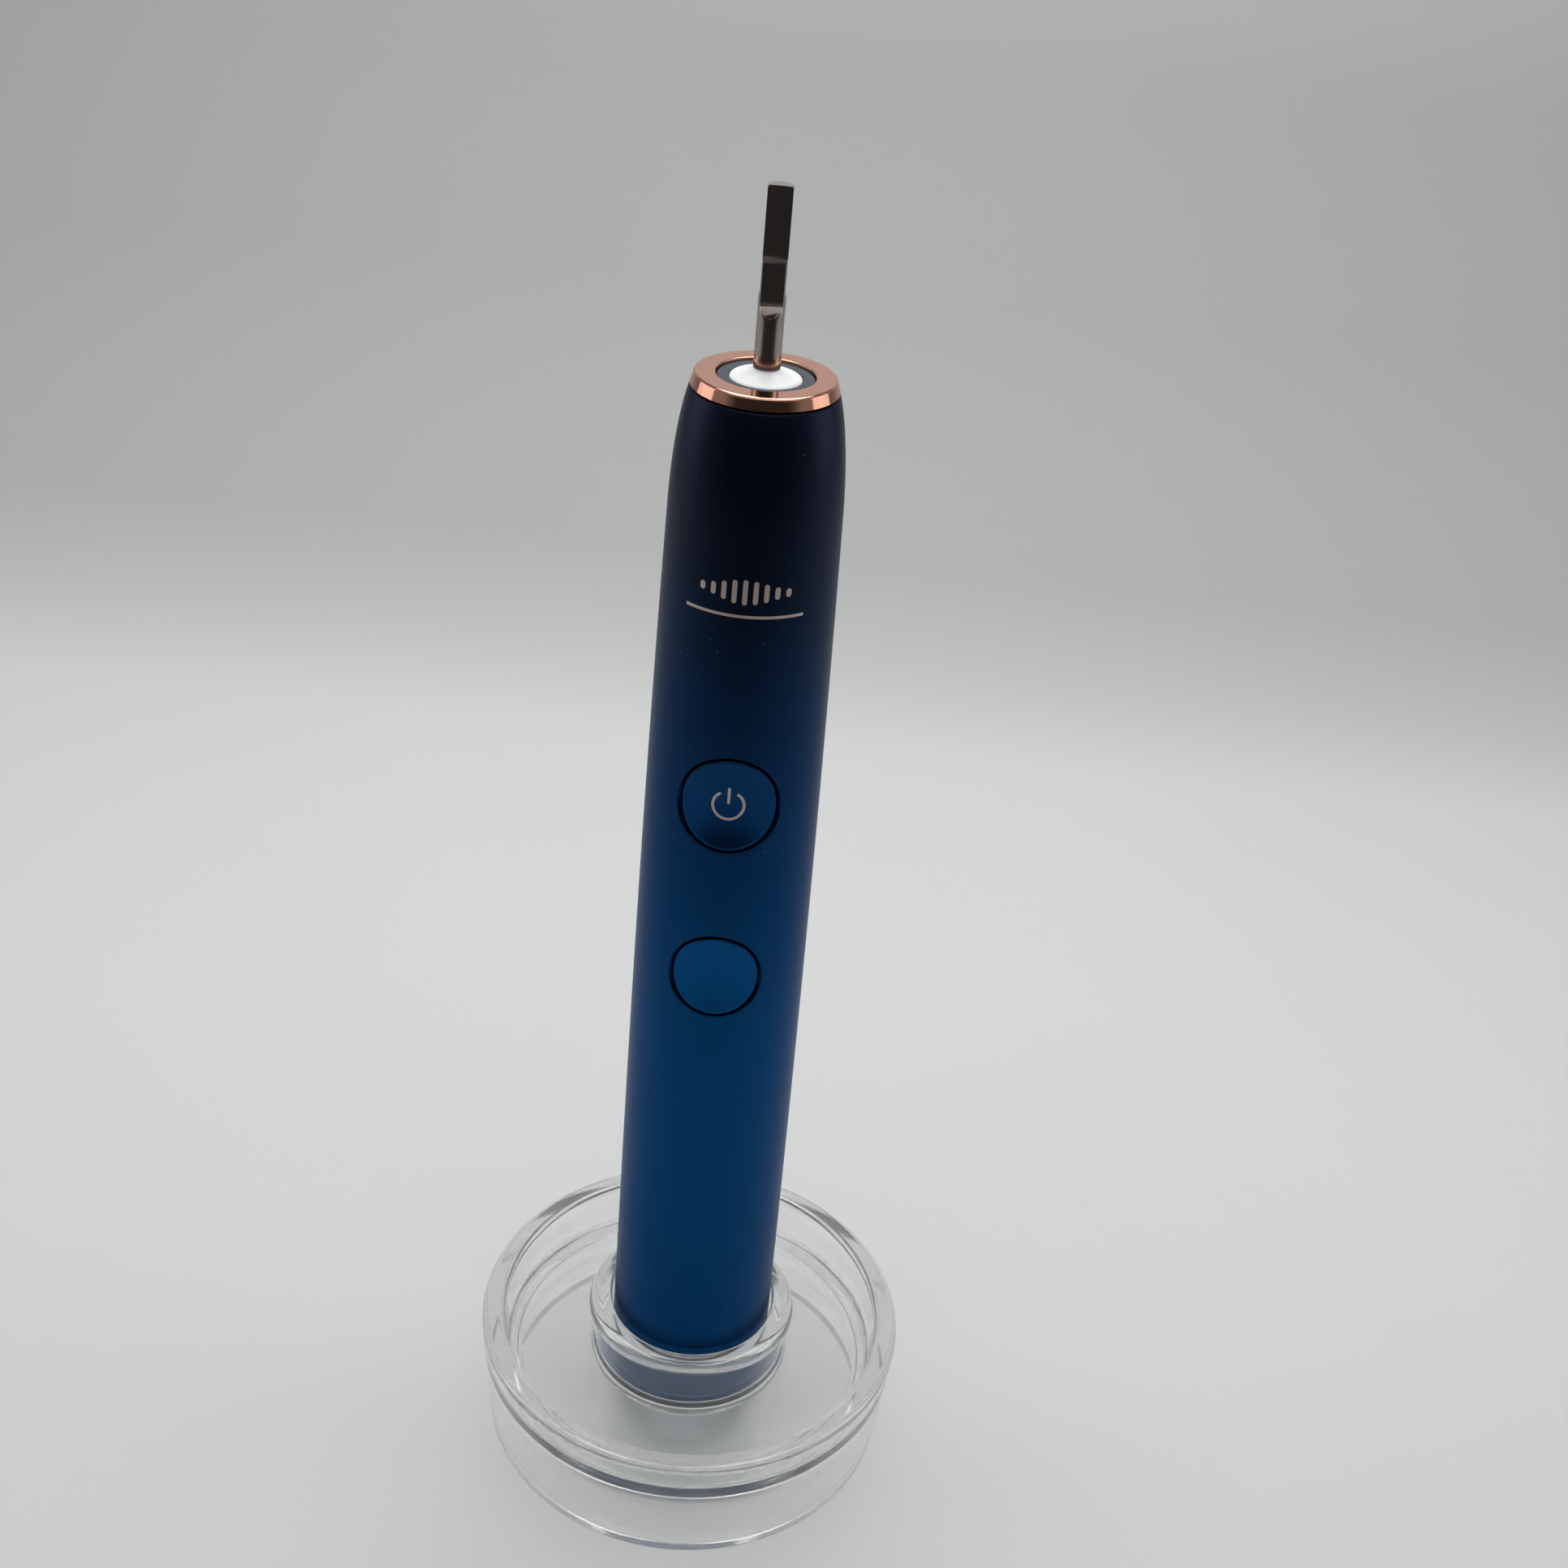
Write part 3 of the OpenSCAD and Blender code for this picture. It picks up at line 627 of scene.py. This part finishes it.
def build_button(name, node, key, body, material):
    centre, opening_r = OPENINGS[key]
    radius = opening_r - BUTTON_GAP
    verts, faces = [], []

    def ring(points):
        first = len(verts)
        verts.extend(points)
        return list(range(first, first + len(points)))

    def loop(r, depth, dished):
        points = []
        for k in range(AROUND):
            x, z = wrapped(centre, r, 2 * math.pi * k / AROUND, radius)
            extra = button_depth(centre, radius, z) if dished else 0.0
            points.append(on_surface(x, z, depth + extra))
        return ring(points)

    rings = [loop(radius * s, 0.0, True) for s in FACE_RINGS]
    rings += [loop(radius - inset, depth, True) for inset, depth in EDGE]
    flange_r = opening_r + FLANGE - 0.1
    rings += [loop(radius, 1.2, False), loop(radius, FLANGE_FRONT, False)]
    rings += [loop(flange_r, FLANGE_FRONT, False)]
    rings += [loop(flange_r * s, FLANGE_BACK, False) for s in BACK_RINGS]
    rings += [loop(STEM_R, FLANGE_BACK, False)]
    stem_y = box_mm("tact_switches")[0].y - STEM_GAP
    turn = [2 * math.pi * k / AROUND for k in range(AROUND)]
    rings += [ring([(STEM_R * math.cos(a), stem_y, centre + HANDLE_Z + STEM_R * math.sin(a)) for a in turn])]
    for a, b in zip(rings, rings[1:]):
        faces += strip(a, b)
    front = ring([on_surface(0.0, centre, DISH)])[0]
    back = ring([(0, stem_y, centre + HANDLE_Z)])[0]
    for k in range(AROUND):
        after = (k + 1) % AROUND
        faces.append((rings[0][k], rings[0][after], front))
        faces.append((rings[-1][after], rings[-1][k], back))
    add_piece(name, verts, faces, body, material, [node], 50)


# ---------------------------------------------------------------- printed marks
PRINT = 0.03         # thickness of the print
SIGN_R, SIGN_LINE = 2.32, 0.42       # the on/off sign's ring and the width of its line
SIGN_GAP = 32        # half of the gap in its ring, in degrees
BARS = 4             # bars on either side of the middle one
BAR_PITCH = 1.5
BAR_HALF_W = 0.35
UNDERLINE_HALF = 8.2
UNDERLINE_H = 0.45
BARS_UP = 3.9        # from the line to the bars' middle


def print_solid(columns, surface):
    """A thin closed solid over a surface, from columns of (x, z) points that run side by side."""
    verts, faces = [], []
    for lift in (PRINT, -PRINT / 2):
        for column in columns:
            verts += [surface(x, z, lift) for x, z in column]
    across, count = len(columns[0]), len(columns)
    layer = across * count

    def at(level, i, j):
        return level * layer + i * across + j
    for i in range(count - 1):
        for j in range(across - 1):
            faces.append((at(0, i, j), at(0, i + 1, j), at(0, i + 1, j + 1), at(0, i, j + 1)))
            faces.append((at(1, i, j), at(1, i, j + 1), at(1, i + 1, j + 1), at(1, i + 1, j)))
        for j in (0, across - 1):
            faces.append((at(0, i, j), at(0, i + 1, j), at(1, i + 1, j), at(1, i, j)))
    for i in (0, count - 1):
        for j in range(across - 1):
            faces.append((at(0, i, j), at(0, i, j + 1), at(1, i, j + 1), at(1, i, j)))
    return verts, faces


def bar(x0, x1, z0, z1, rounding=0.0, steps=8):
    """Columns of a bar, its ends rounded off when rounding is given."""
    columns = []
    for i in range(steps + 1):
        x = x0 + (x1 - x0) * i / steps
        off = abs(2 * i / steps - 1)
        cut = rounding * (1 - math.sqrt(max(1 - off * off, 0.0)))
        columns.append([(x, z0 + cut + (z1 - z0 - 2 * cut) * j / 10) for j in range(11)])
    return columns


def joined(parts):
    """One set of verts and faces from several."""
    verts, faces = [], []
    for part_verts, part_faces in parts:
        start = len(verts)
        verts += part_verts
        faces += [tuple(start + i for i in face) for face in part_faces]
    return verts, faces


def build_marks():
    rose = printed_rose()
    centre, opening_r = OPENINGS["power"]
    radius = opening_r - BUTTON_GAP

    def on_button(x, z, lift):
        return on_surface(x, z, button_depth(centre, radius, z) - lift)

    def on_housing(x, z, lift):
        return on_surface(x, z, -lift)

    sweep = [math.radians(90 + SIGN_GAP + (360 - 2 * SIGN_GAP) * i / 60) for i in range(61)]
    radii = [SIGN_R + SIGN_LINE * (s - 0.5) for s in (0, 0.5, 1)]
    ring = [[(r * math.cos(a), centre + r * math.sin(a)) for r in radii] for a in sweep]
    stroke = bar(-SIGN_LINE / 2, SIGN_LINE / 2, centre + 0.22, centre + SIGN_R + 0.7, SIGN_LINE / 2)
    verts, faces = joined([print_solid(ring, on_button), print_solid(stroke, on_button)])
    add_piece("power_sign", verts, faces, "power_key", rose, ["power_symbol"], 60)

    line_z = box_mm("front_mark")[0].z - HANDLE_Z
    middle = line_z + BARS_UP
    underline = bar(-UNDERLINE_HALF, UNDERLINE_HALF, line_z + 0.02, line_z + UNDERLINE_H, 0.0, 40)
    parts = [print_solid(underline, on_housing)]
    for i in range(-BARS, BARS + 1):
        height = 1.2 + 2.6 * math.cos(math.radians(20 * i)) ** 2
        left, right = BAR_PITCH * i - BAR_HALF_W, BAR_PITCH * i + BAR_HALF_W
        parts.append(print_solid(bar(left, right, middle - height / 2, middle + height / 2, BAR_HALF_W),
                                 on_housing))
    verts, faces = joined(parts)
    add_piece("pulse_mark", verts, faces, "handle", rose, ["front_mark"], 60)


# ---------------------------------------------------------------- base, collar, gasket, seal
BASE_ROUND = 2.4     # radius on the handle's lower edge
DIMPLE_R, DIMPLE_DEPTH = 9.0, 0.25   # shallow hollow under the base
SPIGOT_L = 4
COLLAR_ROUND = 0.45
SKIRT_IN, SKIRT_UP = 0.75, 0.42      # how far the seal's skirt rounds in and rises


def build_base(material):
    """Bottom cap with its rounded edge, the seam line under the housing and the spigot inside it."""
    top = HOUSE_LOW
    spigot = outer_r(top) - WALL - 0.05
    outline = [(0, DIMPLE_DEPTH), (DIMPLE_R, DIMPLE_DEPTH), (DIMPLE_R + 0.3, 0.0)]
    outline += arc(HANDLE_R - BASE_ROUND, BASE_ROUND, BASE_ROUND, -90, 0, 10)
    outline += [(HANDLE_R, top - 0.12), (HANDLE_R - 0.12, top), (spigot, top)]
    outline += [(spigot, top + SPIGOT_L), (0, top + SPIGOT_L)]
    outline = [(r, z + HANDLE_Z) for r, z in outline]
    verts, faces = turned(held(outline, 0.05, 2.5, closed=False), ROUND, closed=False)
    add_piece("base_cap", verts, faces, "handle", material, ["bottom_cap"], 40)


def build_collar():
    inner = gasket_high.x + 0.12
    low_r = collar_high.x
    top_r = low_r - 0.4
    low, high = collar_low.z, collar_high.z
    outline = [(inner, low + 0.02), (low_r - 0.12, low + 0.02), (low_r, low + 0.14)]
    outline += arc(top_r - COLLAR_ROUND, high - COLLAR_ROUND, COLLAR_ROUND, 8, 90, 8)
    outline += arc(inner + 0.15, high - 0.15, 0.15, 90, 180, 4)
    verts, faces = turned(held(outline, 0.04, 1.0))
    add_piece("collar", verts, faces, "handle", polished_rose(), ["collar_ring"], 40)


def build_gasket():
    inner, outer = seal_high.x + 0.06, gasket_high.x
    low, high = gasket_low.z, gasket_high.z
    outline = [(inner, low), (outer, low)] + arc(outer - 0.2, high - 0.2, 0.2, 0, 90, 5)
    outline += arc(inner + 0.2, high - 0.2, 0.2, 90, 180, 5)
    verts, faces = turned(held(outline, 0.04, 1.0))
    add_piece("gasket", verts, faces, "handle",
              soft_rubber("gasket_rubber", rgb(50, 56, 66)), ["top_gasket"], 40)


def build_seal():
    """White boot: a rounded skirt that rises in a shallow cone to the shaft."""
    outer, bore = seal_high.x, NECK_R + 0.05
    low, tip = seal_low.z, seal_high.z
    edge = gasket_high.z - 0.1
    outline = [(bore, low), (outer - 0.05, low)]
    cone_r, cone_low, cone_high = outer - SKIRT_IN, edge + SKIRT_UP, tip - 0.12
    outline += [(outer, edge - 0.25), (outer - 0.03, edge - 0.08), (outer - 0.14, edge + 0.1),
                (outer - 0.36, edge + 0.26), (cone_r, cone_low)]
    reach = cone_r - (SHAFT_R + 0.3)
    for share in (i / 8 for i in range(1, 9)):
        outline.append((cone_r - reach * share, cone_low + (cone_high - cone_low) * share ** 1.25))
    outline += [(SHAFT_R + 0.1, tip - 0.02), (SHAFT_R, tip), (bore, tip)]
    verts, faces = turned(held(outline, 0.05, 0.8))
    add_piece("seal_boot", verts, faces, "handle", white_silicone(), ["shaft_seal"], 45)


# ---------------------------------------------------------------- drive shaft
ROUND_L = 7.25       # exposed round stretch
FLAT_Y = 1.1         # front flat's distance from the axis
NARROW = 3.4         # width across the narrowed sides
RAMP_H = 1.6
NARROW_UP = 2.9      # where the sides narrow, above the round stretch
STEP_UP = 7.1        # where the front flat steps back
STEP_H = 1.2
STEP_Y = 0.25        # how far the flat steps back
TOP_ROUND = 0.42     # radius on the shaft's top
BREAK = 0.09         # width of its broken edges
FAR = 6              # reach of the cutters past the shaft


def prism(outline, half):
    """Verts and faces of a y-z outline pushed through from -half to half along X."""
    count = len(outline)
    verts = [(side, y, z) for side in (-half, half) for y, z in outline]
    faces = [tuple(range(count - 1, -1, -1)), tuple(range(count, 2 * count))]
    faces += [(k, (k + 1) % count, count + (k + 1) % count, count + k) for k in range(count)]
    return verts, faces


def scratch_mesh(name, verts, faces):
    mesh = bpy.data.meshes.new(name)
    mesh.from_pydata([(x * MM, y * MM, z * MM) for x, y, z in verts], [], faces)
    work = bmesh.new()
    work.from_mesh(mesh)
    bmesh.ops.recalc_face_normals(work, faces=work.faces)
    work.to_mesh(mesh)
    work.free()
    scratch = bpy.data.objects.new(name, mesh)
    bpy.context.scene.collection.objects.link(scratch)
    return scratch


def build_shaft():
    seal_tip = seal_high.z + 0.05
    round_top = seal_tip + ROUND_L
    top, low = shaft_high.z, shaft_low.z
    bearing_r = shaft_high.x
    outline = [(0, low)] + arc(bearing_r - 0.3, low + 0.3, 0.3, -90, 0, 4)
    neck_low = seal_low.z - 0.8
    outline += [(bearing_r, neck_low), (NECK_R, neck_low), (NECK_R, seal_tip), (SHAFT_R, seal_tip)]
    outline += arc(SHAFT_R - TOP_ROUND, top - TOP_ROUND, TOP_ROUND, 0, 90, 8) + [(0, top)]
    verts, faces = turned(held(outline, 0.05, 4.0, closed=False), 128, closed=False)
    shaft = scratch_mesh("shaft_blank", verts, faces)
    front = [(-FAR, round_top), (-SHAFT_R, round_top), (-FLAT_Y, round_top + RAMP_H),
             (-FLAT_Y, round_top + STEP_UP), (-FLAT_Y + STEP_Y, round_top + STEP_UP + STEP_H),
             (-FLAT_Y + STEP_Y, top + 2), (-FAR, top + 2)]
    cutters = [scratch_mesh("front_cutter", *prism(front, FAR))]
    side_z = round_top + NARROW_UP
    for side in (-1, 1):
        inner = side * NARROW / 2
        outer = inner + side * FAR
        corners = [(inner, side_z), (outer, side_z), (outer, top + 2), (inner, top + 2)]
        verts, faces = prism(corners, FAR)
        cutters.append(scratch_mesh(f"side_cutter_{side}", [(y, x, z) for x, y, z in verts], faces))
    for cutter in cutters:
        cut = shaft.modifiers.new("cut", "BOOLEAN")
        cut.operation = "DIFFERENCE"
        cut.solver = "EXACT"
        cut.object = cutter
    soften = shaft.modifiers.new("soften", "BEVEL")
    soften.width = BREAK * MM
    soften.segments = 3
    soften.limit_method = "ANGLE"
    soften.angle_limit = math.radians(28)
    bpy.context.view_layer.update()
    mesh = bpy.data.meshes.new_from_object(shaft.evaluated_get(bpy.context.evaluated_depsgraph_get()))
    verts = [tuple(v.co / MM) for v in mesh.vertices]
    faces = [tuple(p.vertices) for p in mesh.polygons]
    for scratch in [shaft] + cutters:
        bpy.data.objects.remove(scratch)
    add_piece("shaft", verts, faces, "drive", ground_steel(), ["drive_shaft"], 30)


# ---------------------------------------------------------------- inner parts keep their CAD shape
def dress_inner_parts():
    white = moulded("inner_white", rgb(222, 224, 222))
    rubber = soft_rubber("inner_rubber", rgb(38, 40, 44))
    screws = metal("screw_steel", rgb(170, 170, 175), (0.2, 0.35))
    winding = layered("copper_winding", rgb(200, 120, 70), rgb(90, 45, 25), 0.3)
    steel = layered("laminated_steel", rgb(140, 142, 148), rgb(60, 62, 66), 0.5)
    cage = metal("cage_alloy", rgb(130, 132, 138), (0.35, 0.5), (1, 1, 0.1))
    bronze = metal("bronze_bush", rgb(176, 150, 104), (0.45, 0.6), size=0.15)
    leads = soft_rubber("lead_cover", rgb(150, 30, 28), (0.35, 0.5))
    looks = {
        "base_seal": rubber, "seal_carrier": white, "button_gaskets": rubber,
        "circuit_board": circuit_green(),
        "control_chips": moulded("black_epoxy", rgb(34, 34, 37), (0.5, 0.7)),
        "tact_switches": metal("switch_metal", rgb(180, 180, 184), (0.25, 0.4)),
        "status_leds": moulded("led_body", rgb(240, 238, 214), (0.15, 0.25)),
        "light_guide": light_guide_clear(), "board_screws": screws, "chassis": white,
        "battery_cell": moulded("cell_wrap", rgb(40, 120, 104), (0.25, 0.35)),
        "battery_tabs": metal("nickel_strip", rgb(190, 188, 180), (0.2, 0.3)), "battery_pad": rubber,
        "coil_bobbin": white, "charging_coil": winding,
        "ferrite_core": moulded("ferrite", rgb(60, 58, 58), (0.6, 0.8)), "charge_leads": leads,
        "drive_frame": cage, "rear_plate": cage, "plate_screws": screws, "frame_dampers": rubber,
        "stator_core": steel, "drive_coil": winding, "front_bearing": bronze, "rear_bearing": bronze,
        "rotor_hub": steel, "rotor_magnets": metal("magnet_plate", rgb(186, 188, 194), (0.15, 0.28)),
        "return_spring": metal("spring_steel", rgb(176, 176, 180), (0.2, 0.3)), "motor_leads": leads,
    }
    for node, material in looks.items():
        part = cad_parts[node]
        part.data.materials.clear()
        part.data.materials.append(material)


def light_guide_clear():
    m = Nodes("clear_plastic")
    m.base(base_color=(0.9, 0.94, 0.95, 1), roughness=m.ranged(m.noise(0.6, 2.0), 0.08, 0.2),
           transmission_weight=0.9, ior=1.49)
    return m.material


# ---------------------------------------------------------------- floor, lights, camera
FLOOR_FRONT, FLOOR_BACK = -0.32, 0.30    # where the flat floor starts and ends, in metres
CURVE_R, HALF_W, WALL_TOP = 0.16, 1.6, 1.4
FLOOR_DROP = 0.0001  # keeps the floor just below the stand's foot
WALL_START = (0.25, 0.36)    # stretch of Y over which floor turns to wall
WALL_RISE = (0.08, 0.4)      # stretch of Z over which the wall's painted shade lifts, from darker grey low down to paler grey higher up


def build_stage():
    """A pale sweep: flat floor that curves up into a back wall, with painted shade on the wall: darker grey
    low down, paler higher up.
    """
    profile = [(FLOOR_FRONT + (FLOOR_BACK - FLOOR_FRONT) * i / 12, 0.0) for i in range(13)]
    profile += [(FLOOR_BACK + CURVE_R * math.sin(a), CURVE_R - CURVE_R * math.cos(a))
                for a in [math.radians(90 * i / 16) for i in range(1, 17)]]
    profile.append((FLOOR_BACK + CURVE_R, WALL_TOP))
    verts = [(side * HALF_W, y, z - FLOOR_DROP) for y, z in profile for side in (-1, 1)]
    faces = [(2 * i, 2 * i + 1, 2 * i + 3, 2 * i + 2) for i in range(len(profile) - 1)]
    mesh = bpy.data.meshes.new("sweep")
    mesh.from_pydata(verts, [], faces)
    mesh.shade_smooth()
    m = Nodes("sweep_paper")
    spot = m.add("ShaderNodeSeparateXYZ", {"Vector": m.add("ShaderNodeTexCoord").outputs["Object"]})
    paper = m.mix(m.noise(60, 2.0), (0.645, 0.65, 0.64, 1), (0.66, 0.665, 0.655, 1))
    # Painted shade: the wall's grey darkens low down and pales higher up to stand in for how the backdrop is
    # lit.
    wall = m.mix(m.ranged(spot.outputs["Z"], 0, 1, *WALL_RISE),
                 (0.455, 0.46, 0.455, 1), (0.72, 0.725, 0.72, 1))
    m.base(base_color=m.mix(m.ranged(spot.outputs["Y"], 0, 1, *WALL_START), paper, wall),
           roughness=m.ranged(m.noise(3, 2.0), 0.7, 0.8))
    mesh.materials.append(m.material)
    sweep = bpy.data.objects.new("sweep", mesh)
    bpy.context.scene.collection.objects.link(sweep)


def area_light(name, place, target, size, watts):
    light = bpy.data.lights.new(name, "AREA")
    light.shape = "RECTANGLE"
    light.size, light.size_y = size
    light.energy = watts
    lamp = bpy.data.objects.new(name, light)
    lamp.location = place
    lamp.rotation_euler = (Vector(target) - Vector(place)).to_track_quat("-Z", "Y").to_euler()
    bpy.context.scene.collection.objects.link(lamp)


# Brightness of the room in front against the sine of the height: a low dim band, then a high window
FRONT_GLOW = [(0.04, 0.0), (0.1, 0.14), (0.17, 0.14), (0.2, 0.0), (0.42, 0.0), (0.6, 0.9)]


def map_range(tree, value, *limits):
    """Value mapped from the first two limits to the last two."""
    node = tree.nodes.new("ShaderNodeMapRange")
    for key, limit in zip(("From Min", "From Max", "To Min", "To Max"), limits):
        node.inputs[key].default_value = limit
    tree.links.new(value, node.inputs["Value"])
    return node.outputs["Result"]


def combine(tree, operation, a, b):
    node = tree.nodes.new("ShaderNodeMath")
    node.operation = operation
    tree.links.new(a, node.inputs[0])
    tree.links.new(b, node.inputs[1])
    return node.outputs[0]


def build_lights():
    """Three soft lamps, and a room that is dim in front and pale behind, with a window above in front."""
    area_light("ceiling", (0.0, 0.12, 0.52), (0, 0.12, 0), (0.34, 0.24), 1.56)
    area_light("left_soft", (-0.55, 0.08, 0.25), (0, 0, 0.1), (0.35, 0.4), 0.45)
    area_light("right_soft", (0.55, 0.08, 0.25), (0, 0, 0.1), (0.35, 0.4), 0.45)
    world = bpy.data.worlds.new("room")
    bpy.context.scene.world = world
    world.use_nodes = True
    tree = world.node_tree
    split = tree.nodes.new("ShaderNodeSeparateXYZ")
    tree.links.new(tree.nodes.new("ShaderNodeTexCoord").outputs["Generated"], split.inputs["Vector"])
    shade = map_range(tree, split.outputs["Y"], -0.75, 0.1, 0.03, 0.34)
    before = map_range(tree, split.outputs["Y"], -0.1, -0.45, 0.0, 1.0)
    above = tree.nodes.new("ShaderNodeValToRGB")
    tree.links.new(split.outputs["Z"], above.inputs["Fac"])
    while len(above.color_ramp.elements) < len(FRONT_GLOW):
        above.color_ramp.elements.new(0.5)
    for element, (rise, glow) in zip(above.color_ramp.elements, FRONT_GLOW):
        element.position = rise
        element.color = (glow, glow, glow, 1)
    window = combine(tree, "MULTIPLY", above.outputs["Color"], before)
    background = tree.nodes["Background"]
    tree.links.new(combine(tree, "ADD", shade, window), background.inputs["Strength"])
    background.inputs["Color"].default_value = (0.97, 0.99, 1.0, 1)


SENSOR = 36
LENS = 45.774        # on that sensor, in mm
CAMERA_AT = (0.00955, -0.26322, 0.28703)
PITCH, YAW, ROLL = 30.37, 0.39, 5.46     # pitch downwards


def build_camera():
    """Camera looking down at the front, with the lean that a hand-held shot has."""
    data = bpy.data.cameras.new("camera")
    data.sensor_width = SENSOR
    data.lens = LENS
    data.clip_start = 0.01
    camera = bpy.data.objects.new("camera", data)
    bpy.context.scene.collection.objects.link(camera)
    pitch, yaw, roll = (math.radians(a) for a in (PITCH, YAW, ROLL))
    turn = Matrix.Rotation(yaw, 3, "Z")
    forward = turn @ Vector((0, math.cos(pitch), -math.sin(pitch)))
    up = turn @ Vector((0, math.sin(pitch), math.cos(pitch)))
    right = turn @ Vector((1, 0, 0))
    right, up = (math.cos(roll) * right + math.sin(roll) * up, -math.sin(roll) * right + math.cos(roll) * up)
    pose = Matrix((right, up, -forward)).transposed().to_4x4()
    pose.translation = Vector(CAMERA_AT)
    camera.matrix_world = pose
    bpy.context.scene.camera = camera


# ---------------------------------------------------------------- put it together
build_camera()
build_stage()
build_lights()
blue = lacquer("handle_lacquer")
build_stand()
build_housing(blue)
build_base(blue)
button_blue = lacquer("button_lacquer", 1.3, (0.19, 0.25))
build_button("power_key_cap", "power_button", "power", "power_key", button_blue)
build_button("mode_key_cap", "mode_button", "mode", "mode_key", button_blue)
build_marks()
build_collar()
build_gasket()
build_seal()
build_shaft()
dress_inner_parts()
bpy.context.scene.view_settings.view_transform = "Standard"

bpy.context.view_layer.update()
